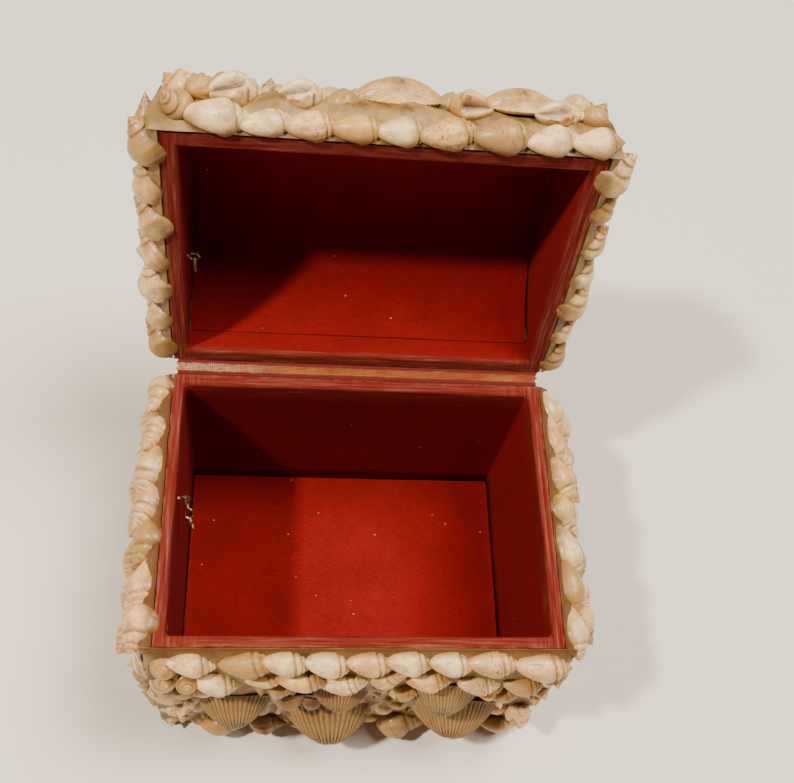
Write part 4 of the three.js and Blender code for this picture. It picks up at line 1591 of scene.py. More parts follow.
@dataclass
class BaseBox:
    """The open base: card carcass, red linings, rim row and coats.

    Args:
        sizes: sizes of the box, in mm.
        floor_top: height of the card floor's top.
        wobble: unevenness of the cloth on the walls.
        rag: unevenness of the rim's fold at the mouth.
        bed_half: half length of the glue on the front and back.
        bed_bottom: how far down the glue goes.
        field: left and right end of the mixed rows on the front.
    """

    sizes: BoxSizes = SIZES
    floor_top: float = 3.9
    wobble: float = 0.14
    rag: float = 0.28
    bed_half: float = 63.4
    bed_bottom: float = 75.3
    field: tuple[float, float] = (-58.5, 60.5)

    def carcass(self, finishes: Finishes) -> None:
        """Give the card carcass its finish."""
        dress("base_carcass", finishes.card)
        LOG.info("base carcass dressed")

    def wall_lining(self, finishes: Finishes) -> None:
        """Cloth over the rims and down the inner walls, in one piece.

        Args:
            finishes: all finishes of the box.
        """
        s = self.sizes
        cloth = rim_ring(s, s.base_rim, s.base_height)
        inner_x = (s.width / 2 - s.base_rim) * MM
        drop = s.base_height - self.floor_top + 0.5
        top = s.base_height * MM
        pull_wall(cloth, inner_x, top, -drop)
        select_edges(cloth, lambda a, b: abs(a.z - b.z) > 20 * MM)
        bpy.ops.mesh.bevel(offset=1.4 * MM, segments=3, profile=0.5, affect="EDGES")
        bpy.ops.mesh.select_all(action="SELECT")
        bpy.ops.mesh.subdivide(number_cuts=7)
        bpy.ops.object.mode_set(mode="OBJECT")
        close_up(cloth, 80)
        spots = places(cloth)
        rim = spots[:, 2] > top - 1.6 * MM
        halves = np.array((s.width / 2, s.depth / 2))
        away = np.sign(spots[:, :2])
        spots[:, 0] += np.where(rim, 0, self.wobble * MM * ripple(spots, 0.012, 1.0))
        spots[:, 1] += np.where(rim, 0, self.wobble * MM * ripple(spots, 0.015, 2.0))
        mouth = rim & np.all(np.abs(spots[:, :2]) < (halves - 1.2) * MM, axis=1)
        rag = self.rag * MM * ripple(spots, 0.0035, 4.0)
        for axis in (0, 1):
            fold = mouth & (np.abs(spots[:, axis]) > (halves[axis] - 5.5) * MM)
            spots[:, axis] += np.where(fold, away[:, axis] * rag, 0)
        spots[:, 2] += np.where(rim, 0.12 * MM * ripple(spots, 0.006, 3.0), 0)
        set_places(cloth, spots)
        down = top - spots[:, 2]
        wear = np.clip(1 - down / (1.9 * MM), 0, 1) ** 0.5
        side = np.abs(spots[:, 0]) > (s.width / 2 - s.base_rim - 0.9) * MM
        outer = np.max(np.abs(spots[:, :2]) / MM - (halves - 1.0), axis=1)
        cloth_paint(cloth, wear, 1.0 - side.astype(float), np.clip(outer, 0, 1) * rim)
        thicken(cloth, s.cloth * MM, -1.0)
        cloth.name = "base_wall_cloth"
        cloth.data.materials.append(finishes.flock)
        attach(cloth, "base")
        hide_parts("base_wall_lining")
        LOG.info("%s: %d faces", cloth.name, len(cloth.data.polygons))

    def floor_lining(self, finishes: Finishes) -> None:
        """Cloth laid over the floor, its edges a little raised against the walls.

        Args:
            finishes: all finishes of the box.
        """
        s = self.sizes
        lo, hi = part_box("base_floor_lining")
        deselect()
        level = (0, 0, hi.z)
        bpy.ops.mesh.primitive_grid_add(x_subdivisions=70, y_subdivisions=50, size=1.0, location=level)
        cloth = bpy.context.object
        cloth.scale = (hi.x - lo.x, hi.y - lo.y, 1)
        bpy.ops.object.transform_apply(location=True, rotation=False, scale=True)
        spots = places(cloth)
        margin = np.minimum(hi.x - np.abs(spots[:, 0]), hi.y - np.abs(spots[:, 1])) / MM
        spots[:, 2] += 0.18 * MM * ripple(spots, 0.02, 7.0) + 0.5 * MM * np.exp(-margin / 0.8)
        set_places(cloth, spots)
        cloth_paint(cloth, np.zeros(len(spots)), np.ones(len(spots)), np.zeros(len(spots)))
        thicken(cloth, s.cloth * MM, -1.0)
        cloth.name = "base_floor_cloth"
        cloth.data.materials.append(finishes.flock)
        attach(cloth, "base")
        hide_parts("base_floor_lining")
        LOG.info("%s: %d faces", cloth.name, len(cloth.data.polygons))

    def front_panel(self) -> Panel:
        """Front face of the base."""
        s = self.sizes
        return flat_panel((0, -s.depth / 2, s.base_height), (1, 0, 0), (0, -1, 0), Matrix.Identity(4))

    def rim_row(self) -> RimRow:
        """The nine whelks along the front rim, their spires to the right.

        Returns:
            The row.
        """
        k, t = ShellKind.WHELK, Tints
        row = [
            Setting(k, -48.6, 4.4, 15.6, -18, t.WHITE, streak=0.5, speckle=0.4, variant=2, lift=3.9,
                    spire_tint=0.2),
            Setting(k, -33.0, 4.3, 17.6, 4, t.TAN, streak=0.4, speckle=0.5, variant=1, lift=3.8),
            Setting(k, -21.8, 3.6, 15.6, -16, t.WHITE, streak=0.3, variant=0, lift=3.8, spire_tint=0.3),
            Setting(k, -9.9, 3.9, 15.8, -24, t.WHITE, streak=0.4, variant=4, lift=3.9, spire_tint=0.1),
            Setting(k, 2.5, 3.7, 15.8, -12, t.PINK, speckle=1.0, streak=0.3, variant=0, lift=3.8),
            Setting(k, 14.0, 3.4, 16.0, -14, t.WHITE, streak=0.2, variant=2, lift=3.7),
            Setting(k, 26.5, 3.7, 15.8, -18, t.WHITE, streak=0.3, variant=0, lift=3.8, spire_tint=0.3),
            Setting(k, 38.9, 3.8, 17.0, -8, t.CREAM, speckle=1.0, streak=0.4, variant=5, lift=3.7),
            Setting(k, 54.2, 4.9, 19.0, -10, t.PINK, streak=0.9, speckle=0.6, variant=5, lift=4.3,
                    spire_tint=0.2),
        ]
        return RimRow("base", "base_rim_whelk", self.front_panel(), row)

    def fans(self) -> FanSet:
        """The large ark and cockle shells on the front.

        Returns:
            The set.
        """
        panel, t = self.front_panel(), Tints
        a, c = ShellKind.ARK, ShellKind.FAN
        return FanSet("base", panel, {
            "base_front_ark_1": Setting(a, -37.0, 39.0, 24.0, 188, t.GREY, lift=5.2, stand=-10, variant=0),
            "base_front_ark_2": Setting(a, -4.5, 28.5, 19.0, 174, t.GREY, lift=5.0, stand=-10, variant=1),
            "base_front_ark_3": Setting(a, -6.6, 52.0, 31.0, 187, t.GREY, lift=5.0, stand=-8, variant=0),
            "base_front_cockle_1": Setting(c, 27.0, 27.0, 25.0, 183, t.GREY, lift=5.0, stand=-10,
                                           variant=1),
            "base_front_cockle_2": Setting(c, 34.5, 49.5, 30.0, 176, t.TAN, lift=5.0, stand=-8, variant=0),
        })

    def front_coat(self) -> Coat:
        """The small shells of the front, the upper rows as they are in the photograph.

        Returns:
            The coat.
        """
        t = Tints
        w, n, o = ShellKind.WHELK, ShellKind.SNAIL, ShellKind.OPEN
        k, d, a = ShellKind.KNOBBED, ShellKind.DOVE, ShellKind.ARK
        second = [
            Setting(n, -56.8, 5.0, 9.4, 95, t.CREAM, stand=36, lift=5.0, streak=1.0, variant=0,
                    spire_tint=0.8),
            Setting(n, -50.2, 10.6, 7.6, 80, t.TAN, stand=40, lift=8.6, streak=1.0, variant=0,
                    spire_tint=0.6),
            Setting(n, -57.0, 13.5, 8.8, 70, t.CREAM, stand=34, lift=6.6, streak=0.9, variant=2,
                    spire_tint=0.4),
            Setting(n, -57.0, 22.0, 8.6, 100, t.TAN, stand=32, lift=7.0, streak=0.9, variant=0),
            Setting(w, -41.9, 13.6, 14.4, -14, t.WHITE, lift=6.8, stretch=1.15, variant=4, spire_tint=0.3),
            Setting(w, -27.7, 13.0, 13.2, 14, t.CREAM, lift=6.0, stretch=0.85, variant=1),
            Setting(n, -22.8, 21.5, 8.0, 20, t.GREY, roll=80, stand=20, lift=7.0, variant=0, streak=0.5),
            Setting(w, -17.0, 11.8, 14.4, -4, t.CREAM, lift=7.0, stretch=0.9, variant=4, spire_tint=0.3),
            Setting(w, -4.6, 14.0, 15.0, 12, t.WHITE, lift=7.0, variant=1, streak=0.5, speckle=0.4),
            Setting(d, 8.2, 10.4, 13.4, 36, t.CREAM, speckle=1.0, lift=6.6, variant=0, spire_tint=0.4),
            Setting(w, 20.6, 12.0, 14.6, -6, t.CREAM, lift=6.8, variant=2, streak=0.8),
            Setting(n, 15.6, 22.5, 7.6, 40, t.TAN, roll=70, stand=25, lift=7.4, variant=2),
            Setting(w, 36.3, 14.4, 14.2, -8, t.WHITE, speckle=1.0, lift=7.2, variant=1),
            Setting(w, 50.2, 16.0, 14.0, -16, t.TAN, streak=0.8, lift=7.2, variant=0),
            Setting(n, 60.0, 12.0, 8.6, 120, t.TAN, stand=75, lift=5.5, variant=1, streak=0.7),
        ]
        third = [
            Setting(a, -20.5, 30.0, 11.4, 205, t.BROWN, lift=7.2, stand=-14, variant=0, speckle=1.0,
                    fine=False),
            Setting(a, -13.0, 31.5, 9.6, 150, t.PURPLE, lift=7.6, stand=-16, variant=1, speckle=1.0,
                    fine=False),
            Setting(d, -50.5, 24.0, 12.0, -20, t.TAN, lift=7.0, variant=1),
            Setting(w, 46.0, 26.0, 12.0, 10, t.GREY, lift=7.4, variant=0, streak=0.7),
            Setting(n, 57.5, 24.0, 8.8, 60, t.CREAM, stand=60, lift=6.6, variant=0),
        ]
        lower = [
            Setting(d, -40.5, 66.0, 17.0, 4, t.TAN, lift=8.6, variant=0, streak=0.6),
            Setting(k, -26.0, 65.0, 13.4, -10, t.BROWN, lift=8.4, variant=1, streak=0.7),
            Setting(w, -13.5, 67.0, 10.2, 10, t.CREAM, lift=8.6, stretch=0.8, variant=1),
            Setting(a, 0.0, 70.0, 13.4, 190, t.BROWN, lift=7.4, stand=-12, variant=0, speckle=1.0,
                    fine=False),
            Setting(k, 18.6, 65.0, 17.0, -6, t.GREY, lift=8.8, variant=1),
            Setting(k, 42.0, 71.0, 11.0, 20, t.GOLD, lift=8.6, variant=0),
            Setting(w, 53.0, 69.0, 12.2, -10, t.CREAM, lift=8.6, variant=2),
            Setting(o, 56.5, 50.0, 13.4, 80, t.PINK, roll=85, lift=8.4, variant=0),
        ]
        free = [(x.across, x.down, x.length * 0.42) for x in (*second, *third, *lower)]
        fans = [(x.across, x.down, x.length * 0.46) for x in self.fans().settings.values()]
        plans = CoatPlans()
        filler = plans.fill(lambda v: self.field, 22.0, 69.0, 1000, girth=8.8, clear_of=[*free, *fans])
        bed = GlueBed(self.front_panel(), lambda v: -self.bed_half, lambda v: self.bed_half, -0.2,
                      self.bed_bottom, height=6.2, seed=1.3, rim_height=1.4, rim_reach=12.0)
        placed = [*second, *third, *lower, *filler]
        taken = [*fans, *((x.across, x.down, x.length * 0.44) for x in placed)]
        small = plans.fill(lambda v: self.field, 20.0, 71.0, 1060, girth=6.2, clear_of=taken)
        return Coat("base_front_coat", "base", bed, [*placed, *small])

    def side_coat(self, side: int) -> Coat:
        """The left (-1) or right (1) side: a rim row of snails, and mixed rows below.

        Args:
            side: -1 for the left and 1 for the right.

        Returns:
            The coat.
        """
        s = self.sizes
        top = (side * s.width / 2, 0, s.base_height)
        panel = flat_panel(top, (0, side, 0), (side, 0, 0), Matrix.Identity(4))
        half = s.depth / 2
        plan = CoatPlans()
        to_front = 0.0 if side < 0 else 180.0
        rim = plan.edge_row(-half, half, 4.8, 7, 500 if side < 0 else 530, to_front, lift=4.2)
        second = plan.edge_row(-half + 4, half - 3, 12.6, 7, 560 if side < 0 else 590, to_front,
                               lift=6.8 if side < 0 else 8.8)
        rest = plan.fill(lambda v: (-half + 0.5, half - 0.5), 23.5, 70.0, 1300 + 100 * side, girth=9.6)

        def back(v: float) -> float:
            """Back end of the glue; it leaves the hinge free."""
            return half + (1.6 if v > s.back_margin else 0.0)

        def front(v: float) -> float:
            """Front end of the glue, round the corner."""
            return half + 1.6

        left, right = (back, front) if side < 0 else (front, back)
        bed = GlueBed(panel, lambda v: -left(v), right, -0.2, self.bed_bottom, height=3.6, seed=2.0 + side,
                      rim_height=3.4, closed="tb")
        node = "base_left_coat" if side < 0 else "base_right_coat"
        return Coat(node, "base", bed, [*rim, *second, *rest])

    def back_coat(self) -> Coat:
        """The back, which the photograph doesn't show: mixed rows, plainer.

        Returns:
            The coat.
        """
        s = self.sizes
        panel = flat_panel((0, s.depth / 2, s.base_height), (-1, 0, 0), (0, 1, 0), Matrix.Identity(4))
        rows = CoatPlans().fill(lambda v: (-57.5, 57.5), 15.5, 69.5, 1700, girth=9.6)
        bed = GlueBed(panel, lambda v: -self.bed_half, lambda v: self.bed_half, s.back_margin + 0.4,
                      self.bed_bottom, height=3.2, seed=4.0)
        return Coat("base_back_coat", "base", bed, rows)

    def build(self, store: ShellStore, finishes: Finishes) -> None:
        """Build and dress the whole base.

        Args:
            store: templates of the shells.
            finishes: all finishes of the box.
        """
        self.carcass(finishes)
        self.wall_lining(finishes)
        self.floor_lining(finishes)
        self.rim_row().build(store, finishes)
        self.fans().build(store, finishes)
        for coat in (self.front_coat(), self.side_coat(-1), self.side_coat(1), self.back_coat()):
            coat.build(store, finishes)


@dataclass
class LidBox:
    """The arched lid: card carcass, red linings, rim row and coats.

    Args:
        sizes: sizes of the box, in mm.
        bed_half: half length of the glue on the arch.
        band_shares: edges of the bands over the arch as shares of the way to the back margin.
    """

    sizes: BoxSizes = SIZES
    bed_half: float = 63.2
    band_shares: tuple[float, ...] = (0.27, 0.38, 0.59, 0.8, 1.0)

    def carcass(self, finishes: Finishes) -> None:
        """Give the card carcass its finish."""
        dress("lid_carcass", finishes.card)
        LOG.info("lid carcass dressed")

    def half_inside(self, height: np.ndarray | float) -> np.ndarray:
        """Half depth of the lined inside at a height over the rim plane, in mm.

        Args:
            height: height over the rim plane, in mm.

        Returns:
            Half depths in mm.
        """
        s = self.sizes
        inner = s.depth / 2 - s.lid_rim
        radius = s.arch_radius - s.lid_rim
        low = np.maximum(np.asarray(height, dtype=float) - s.arch_centre, 0.0)
        return np.minimum(inner, np.sqrt(np.maximum(radius**2 - low**2, 0.0)))

    def wall_lining(self, finishes: Finishes) -> None:
        """Cloth over the rims, up the short front and back walls and up the two arched ends.

        Args:
            finishes: all finishes of the box.
        """
        s = self.sizes
        cloth = rim_ring(s, s.lid_rim, 0.0)
        inner_x = (s.width / 2 - s.lid_rim) * MM
        side = s.lid_side
        pull_wall(cloth, inner_x, 0.0, side)

        def end_top(a: Vector, b: Vector) -> bool:
            """Whether an edge is the top edge of an end wall."""
            level = min(a.z, b.z) > (side - 0.1) * MM
            return level and min(abs(a.x), abs(b.x)) > inner_x - 1e-5 and a.x * b.x > 0

        select_edges(cloth, end_top)
        crown = s.lid_height - s.lid_rim - 0.3
        bpy.ops.mesh.extrude_region_move(TRANSFORM_OT_translate={"value": (0, 0, (crown - side) * MM)})
        bpy.ops.mesh.select_all(action="SELECT")
        bpy.ops.mesh.subdivide(number_cuts=15)
        bpy.ops.object.mode_set(mode="OBJECT")
        close_up(cloth, 80)
        spots = places(cloth)
        ends = np.abs(spots[:, 0]) > inner_x - 0.01 * MM
        height = spots[:, 2] / MM
        upper = ends & (height > side)
        half = self.half_inside(height) - 0.1
        inner = s.depth / 2 - s.lid_rim
        spots[:, 1] = np.where(upper, spots[:, 1] * half / inner, spots[:, 1])
        rim = height < 1.4
        spots[:, 0] += np.where(rim, 0, 0.12 * MM * ripple(spots, 0.012, 11.0))
        spots[:, 2] += np.where(rim, 0.12 * MM * ripple(spots, 0.006, 13.0), 0)
        set_places(cloth, spots)
        wear = np.clip(1 - np.maximum(height, 0) / 1.9, 0, 1) ** 0.5
        halves = np.array((s.width / 2, s.depth / 2))
        outer = np.max(np.abs(spots[:, :2]) / MM - (halves - 1.2), axis=1)
        cloth_paint(cloth, wear, 1.0 - ends.astype(float), np.clip(outer, 0, 1) * rim)
        cloth.data.transform(s.lid_to_row())
        thicken(cloth, s.cloth * MM, 1.0)
        cloth.name = "lid_wall_cloth"
        cloth.data.materials.append(finishes.flock)
        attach(cloth, "lid")
        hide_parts("lid_wall_lining")
        LOG.info("%s: %d faces", cloth.name, len(cloth.data.polygons))

    def vault_lining(self, finishes: Finishes) -> None:
        """Cloth under the arch, from the front wall to the back wall.

        Args:
            finishes: all finishes of the box.
        """
        s = self.sizes
        deselect()
        bpy.ops.mesh.primitive_grid_add(x_subdivisions=64, y_subdivisions=72, size=1.0)
        cloth = bpy.context.object
        spots = places(cloth)
        radius = s.arch_radius - s.lid_rim
        inner = s.depth / 2 - s.lid_rim
        reach = math.asin(min((inner - 0.3) / radius, 1.0))
        angle = 2 * spots[:, 1] * reach
        sag = 0.25 * ripple(spots * 0.1, 0.02, 21.0)
        x = spots[:, 0] * 2 * (s.width / 2 - s.lid_rim - 0.3)
        z = s.arch_centre + (radius + sag) * np.cos(angle)
        y = (radius + sag) * np.sin(angle)
        set_places(cloth, np.stack([x, y, z], axis=1) * MM)
        cloth_paint(cloth, np.zeros(len(spots)), np.ones(len(spots)), np.zeros(len(spots)))
        cloth.data.transform(s.lid_to_row())
        thicken(cloth, s.cloth * MM, 1.0)
        close_up(cloth, 80)
        cloth.name = "lid_vault_cloth"
        cloth.data.materials.append(finishes.flock)
        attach(cloth, "lid")
        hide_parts("lid_vault_lining")
        LOG.info("%s: %d faces", cloth.name, len(cloth.data.polygons))

    def arch(self) -> Panel:
        """The outside of the lid from its front rim over the crown to its back rim."""
        return arch_panel(self.sizes.lid_to_row())

    def rim_row(self) -> RimRow:
        """The nine whelks along the lid's front rim.

        Returns:
            The row.
        """
        k, t = ShellKind.WHELK, Tints
        row = [
            Setting(k, -45.0, 2.7, 20.0, -4, t.WHITE, streak=0.1, variant=2, lift=4.0, stretch=0.96,
                    spire_tint=0.1),
            Setting(k, -32.6, 1.9, 15.2, 14, t.WHITE, streak=0.1, variant=4, lift=3.4, stretch=0.92),
            Setting(k, -21.0, 1.9, 16.2, 4, t.PINK, streak=0.3, speckle=0.9, variant=1, lift=3.5,
                    spire_tint=0.3),
            Setting(k, -9.2, 1.8, 15.4, 2, t.GOLD, streak=0.3, variant=4, lift=3.5, stretch=0.95),
            Setting(k, 3.1, 1.9, 16.0, 6, t.WHITE, streak=0.3, variant=0, lift=3.5, spire_tint=0.7),
            Setting(k, 15.4, 2.1, 18.2, 14, t.CREAM, speckle=1.0, streak=0.6, variant=1, lift=3.6,
                    spire_tint=0.4),
            Setting(k, 30.2, 2.2, 18.4, 6, t.GREY, streak=0.9, speckle=0.8, variant=5, lift=3.7,
                    stretch=1.05),
            Setting(k, 44.0, 2.0, 17.4, 14, t.WHITE, streak=0.0, variant=3, lift=3.6),
            Setting(k, 56.0, 2.0, 15.6, 8, t.WHITE, streak=0.1, variant=2, lift=3.7, spire_tint=0.9,
                    stretch=1.1),
        ]
        return RimRow("lid", "lid_rim_whelk", self.arch(), row)

    def fans(self) -> FanSet:
        """The two cockles of the lid's upper row.

        Returns:
            The set.
        """
        c, t = ShellKind.FAN, Tints
        return FanSet("lid", self.arch(), {
            "lid_front_cockle_1": Setting(c, 2.8, 17.8, 27.0, 180, t.CREAM, lift=5.6, stand=-4, variant=2),
            "lid_front_cockle_2": Setting(c, 37.0, 17.2, 24.0, 175, t.CREAM, lift=5.6, stand=-4, variant=2),
        })

    def front_coat(self) -> Coat:
        """Small shells of the lid's front, the upper row as it is in the photograph.

        Returns:
            The coat.
        """
        t = Tints
        w, n, o = ShellKind.WHELK, ShellKind.SNAIL, ShellKind.OPEN
        k, d = ShellKind.KNOBBED, ShellKind.DOVE
        upper = [
            Setting(n, -56.4, 5.4, 10.6, 200, t.TAN, stand=50, lift=5.6, variant=0, streak=0.8),
            Setting(n, -57.0, 12.6, 9.4, 150, t.CREAM, stand=40, lift=6.0, variant=2, streak=0.6),
            Setting(k, -49.6, 10.5, 11.6, 60, t.TAN, lift=6.2, variant=0, streak=0.8),
            Setting(o, -40.5, 9.8, 17.0, 15, t.WHITE, roll=158, lift=6.0, variant=0),
            Setting(o, -23.0, 10.0, 15.6, 12, t.WHITE, roll=158, lift=6.0, variant=1),
            Setting(k, -11.5, 9.4, 13.0, 15, t.GREY, lift=5.0, variant=1, streak=0.8),
            Setting(o, 20.5, 10.0, 15.0, 165, t.CREAM, roll=40, lift=6.2, variant=0, stretch=0.95,
                    spire_tint=0.4),
            Setting(n, 51.5, 15.6, 11.0, 100, t.CREAM, streak=0.8, lift=6.4, variant=0, spire_tint=0.8),
            Setting(o, 47.0, 9.2, 16.5, 8, t.WHITE, roll=165, lift=5.8, variant=1, stretch=0.8),
            Setting(n, 57.0, 10.5, 9.0, 30, t.TAN, stand=50, lift=6.0, variant=2),
        ]
        taken = [(x.across, x.down, x.length * 0.52) for x in upper]
        fans = [(x.across, x.down, x.length * 0.5) for x in self.fans().settings.values()]
        filler = CoatPlans().fill(
            lambda v: (-58.0, 59.0), 13.5, 29.5, 2000, girth=8.8, fine=True, clear_of=[*taken, *fans]
        )
        pools = [(-30.3, 8.5, 5.5, 2.6), (-14.0, 8.0, 6.0, 1.6), (2.8, 8.5, 9.0, 2.0)]
        pools.append((-12.0, 13.5, 5.0, 1.4))
        bed = GlueBed(self.arch(), lambda v: -self.bed_half, lambda v: self.bed_half, -0.2, 32.8,
                      height=4.0, pools=pools, seed=5.1, rim_height=1.4, rim_reach=8.0, closed="tlr")
        placed = [*upper, *filler]
        busy = [*fans, *((x.across, x.down, x.length * 0.46) for x in placed)]
        small = CoatPlans().fill(lambda v: (-58.0, 59.0), 14.0, 31.0, 2060, girth=6.2, clear_of=busy)
        return Coat("lid_front_coat", "lid", bed, [*placed, *small])

    def band(self, node: str, top: float, bottom: float, seed: int) -> Coat:
        """One band of mixed rows over the arch.

        Args:
            node: name of the solid that it stands for.
            top: its front edge, as way over the arch in mm.
            bottom: its back edge, as way over the arch in mm.
            seed: first number of its scatter.

        Returns:
            The coat.
        """
        rows = CoatPlans().fill(lambda v: (-57.5, 57.5), top + 4.8, bottom - 4.8, seed, girth=9.4)
        closed = "blr" if node == "lid_back_coat" else "lr"
        bed = GlueBed(self.arch(), lambda v: -self.bed_half, lambda v: self.bed_half, top - 0.2, bottom,
                      height=3.2, seed=seed / 7.0, rim_height=3.2, dark_reach=0.01, closed=closed)
        return Coat(node, "lid", bed, rows)

    def end_coat(self, side: int) -> Coat:
        """The left (-1) or right (1) arched end.

        Args:
            side: -1 for the left and 1 for the right.

        Returns:
            The coat.
        """
        s = self.sizes
        panel = flat_panel((side * s.width / 2, 0, 0), (0, side, 0), (side, 0, 0), s.lid_to_row())

        def width(v: float) -> tuple[float, float]:
            """Ends of the arch at a height over the rim, given as minus that height."""
            half = min(s.depth / 2, s.arch_half(max(-v + 1.5, s.lid_side), 0.5))
            return (-half + 0.5, half - 0.5)

        def front(v: float) -> float:
            """Front end of the glue, round the corner."""
            return min(s.depth / 2, s.arch_half(max(-v, s.lid_side), 0.2)) + 1.5

        def back(v: float) -> float:
            """Back end of the glue; it leaves the hinge free."""
            return front(v) - (0.0 if -v > s.back_margin else 1.5)

        left, right = (back, front) if side < 0 else (front, back)
        plan = CoatPlans()
        to_front = 0.0 if side < 0 else 180.0
        rim = plan.edge_row(-s.depth / 2, s.depth / 2, -4.6, 7, 620 if side < 0 else 650, to_front,
                            lift=4.0, plump_share=1.0)
        rest = plan.fill(width, -33.0, -14.0, 2300 + 50 * side, girth=9.2)
        bed = GlueBed(panel, lambda v: -left(v), right, -(s.lid_height - 0.6), 0.2, height=3.4,
                      seed=6.0 + side, rim_height=3.4, dark_reach=0.01, closed="b")
        node = "lid_left_coat" if side < 0 else "lid_right_coat"
        return Coat(node, "lid", bed, [*rim, *rest])

    def build(self, store: ShellStore, finishes: Finishes) -> None:
        """Build and dress the whole lid.

        Args:
            store: templates of the shells.
            finishes: all finishes of the box.
        """
        self.carcass(finishes)
        self.wall_lining(finishes)
        self.vault_lining(finishes)
        self.rim_row().build(store, finishes)
        self.fans().build(store, finishes)
        self.front_coat().build(store, finishes)
        crown_end = self.sizes.profile_length - self.sizes.back_margin
        edges = [share * crown_end for share in self.band_shares]
        nodes = ("lid_upper_front_coat", "lid_crown_coat", "lid_upper_back_coat", "lid_back_coat")
        for number, node in enumerate(nodes):
            self.band(node, edges[number], edges[number + 1], 2500 + 60 * number).build(store, finishes)
        self.end_coat(-1).build(store, finishes)
        self.end_coat(1).build(store, finishes)


@dataclass
class HingeTape:
    """Cloth tape that hinges the lid: glued to both backs, bare between the rims.

    Args:
        sizes: sizes of the box, in mm.
        half_width: half length of the tape along the hinge.
        reach: how far it is glued down each back.
        stand_off: distance of its middle from the card.
        thickness: its thickness.
        threads: threads in a mm.
        columns: cells along the hinge.
    """

    sizes: BoxSizes = SIZES
    half_width: float = 59.0
    reach: float = 8.3
    stand_off: float = 0.35
    thickness: float = 0.4
    threads: float = 1.6
    columns: int = 120

    def line(self) -> list[tuple[float, float]]:
        """Places of the tape in y and z, from the base's back over the gap to the lid's back.

        Returns:
            One pair a row of the tape.
        """
        s = self.sizes
        to_row = s.lid_to_row()
        back = s.depth / 2 + self.stand_off
        base = [(back, s.base_height - self.reach * (1 - i / 8)) for i in range(9)]
        lid = []
        for i in range(9):
            spot = to_row @ (Vector((0, back, self.reach * i / 8)) * MM)
            lid.append((spot.y / MM, spot.z / MM))
        (y0, z0), (y1, z1) = base[-1], lid[0]
        middle = []
        for i in range(1, 6):
            t = i / 6
            bulge = self.stand_off * math.sin(math.pi * t)
            middle.append((y0 + (y1 - y0) * t + bulge, z0 + (z1 - z0) * t))
        return base + middle + lid

    def build(self, finishes: Finishes) -> None:
        """Model the tape from a grid bent along its line, with loose threads at its left end.

        Args:
            finishes: all finishes of the box.
        """
        deselect()
        line = self.line()
        rows = len(line) - 1
        bpy.ops.mesh.primitive_grid_add(
            x_subdivisions=self.columns, y_subdivisions=rows, size=1.0, calc_uvs=True
        )
        tape = bpy.context.object
        spots = places(tape)
        index = np.rint((spots[:, 1] + 0.5) * rows).astype(int)
        yz = np.array(line)[index]
        x = spots[:, 0] * 2 * self.half_width
        ragged = 0.5 * np.sin(index * 2.4) * (np.abs(spots[:, 0]) > 0.49)
        set_places(tape, np.stack([x + ragged, yz[:, 0], yz[:, 1]], axis=1) * MM)
        bare = np.exp(-(((index - rows / 2) / 4.0) ** 2))
        rubbed = bare * np.clip((-x - 22) / 30, 0, 1)
        cloth_paint(tape, rubbed, np.zeros(len(x)), np.clip(np.abs(index - rows / 2) / 2.6, 0, 1))
        way = sum(math.dist(a, b) for a, b in zip(line, line[1:]))
        layer = tape.data.uv_layers.active
        flat = np.empty(len(layer.data) * 2)
        layer.data.foreach_get("uv", flat)
        flat = flat.reshape(-1, 2) * (2 * self.half_width * self.threads, way * self.threads)
        layer.data.foreach_set("uv", flat.ravel())
        thicken(tape, self.thickness * MM, 0.0)
        close_up(tape, 80)
        tape.name = "hinge_tape"
        tape.data.materials.append(finishes.tape)
        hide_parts("hinge_tape_base_flap", "hinge_tape_lid_flap")
        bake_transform(tape)
        LOG.info("%s: %d faces", tape.name, len(tape.data.polygons))


class Stay:
    """What is left of the brass lid stay: an eye and some wire links on each left inner wall."""

    def build(self, finishes: Finishes) -> None:
        """Dress the brass eyes and links.

        Args:
            finishes: all finishes of the box.
        """
        for node in ("base_stay_eye", "base_stay_links", "lid_stay_eye", "lid_stay_links"):
            dress(node, finishes.brass)
        LOG.info("stay dressed")


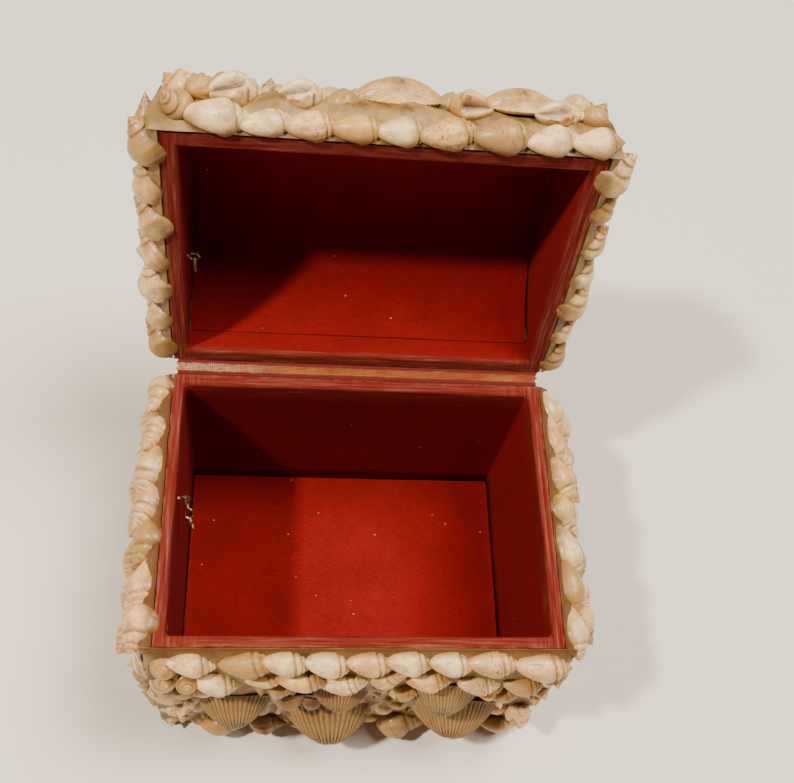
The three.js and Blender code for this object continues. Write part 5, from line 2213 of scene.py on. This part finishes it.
@dataclass
class Studio:
    """Camera, floor and soft light.

    Args:
        lens: focal length of the camera in mm.
        place: where the camera stands, in metres.
        turn: how it is turned, in degrees.
        floor_colour: colour of the floor.
        floor_size: length of the floor's side in metres.
        sky: colour of the sky.
        sky_strength: its strength.
    """

    lens: float = 47.52
    place: tuple[float, float, float] = (-0.03046, -0.12208, 0.37583)
    turn: tuple[float, float, float] = (28.43, -7.19, -1.68)
    floor_colour: Colour = (0.80, 0.74, 0.67)
    floor_size: float = 4.0
    sky: Colour = (1.0, 0.93, 0.84)
    sky_strength: float = 0.09

    def camera(self) -> None:
        """Put the camera where the photograph was taken from."""
        data = bpy.data.cameras.new("camera")
        data.lens = self.lens
        data.sensor_width = 36.0
        data.clip_start = 0.01
        camera = bpy.data.objects.new("camera", data)
        camera.location = self.place
        camera.rotation_euler = tuple(math.radians(a) for a in self.turn)
        bpy.context.scene.collection.objects.link(camera)
        bpy.context.scene.camera = camera

    def floor(self) -> None:
        """Lay a plain pale floor."""
        deselect()
        bpy.ops.mesh.primitive_plane_add(size=self.floor_size, location=(0, 0, 0))
        floor = bpy.context.object
        floor.name = "floor"
        paper = Nodes("pale_floor")
        paper.settings(Roughness=0.9)
        paper.shader.inputs["Base Color"].default_value = (*self.floor_colour, 1)
        floor.data.materials.append(paper.material)

    def lamp(
        self,
        name: str,
        place: Sequence[float],
        aim: Sequence[float],
        size: float,
        power: float,
        colour: Colour,
    ) -> None:
        """Hang one square area lamp.

        Args:
            name: its name.
            place: where it hangs, in metres.
            aim: the point that it faces.
            size: length of its side.
            power: its power in watts.
            colour: its colour.
        """
        data = bpy.data.lights.new(name, "AREA")
        data.energy = power
        data.size = size
        data.color = colour
        lamp = bpy.data.objects.new(name, data)
        lamp.location = place
        lamp.rotation_euler = (Vector(aim) - Vector(place)).to_track_quat("-Z", "Y").to_euler()
        bpy.context.scene.collection.objects.link(lamp)

    def lights(self) -> None:
        """Hang a key lamp at the upper left and a wide dim one overhead, with a little sky."""
        self.lamp("key", (-0.686, -0.17, 1.21), (0.0, 0.03, 0.08), 0.08, 23.0, (1.0, 0.89, 0.73))
        self.lamp("ceiling", (0.45, 0.15, 1.35), (0.0, 0.0, 0.0), 0.6, 31.0, (1.0, 0.92, 0.80))
        world = bpy.data.worlds.new("sky")
        world.use_nodes = True
        background = world.node_tree.nodes["Background"]
        background.inputs["Color"].default_value = (*self.sky, 1)
        background.inputs["Strength"].default_value = self.sky_strength
        bpy.context.scene.world = world


def main() -> None:
    """Build the whole box in order."""
    logging.basicConfig(level=logging.INFO, format="%(name)s: %(message)s")
    studio = Studio()
    studio.camera()
    finishes = Finishes()
    store = ShellStore()
    store.build()
    BaseBox().build(store, finishes)
    LidBox().build(store, finishes)
    HingeTape().build(finishes)
    Stay().build(finishes)
    store.clear()
    studio.floor()
    studio.lights()


if __name__ == "__main__":
    main()
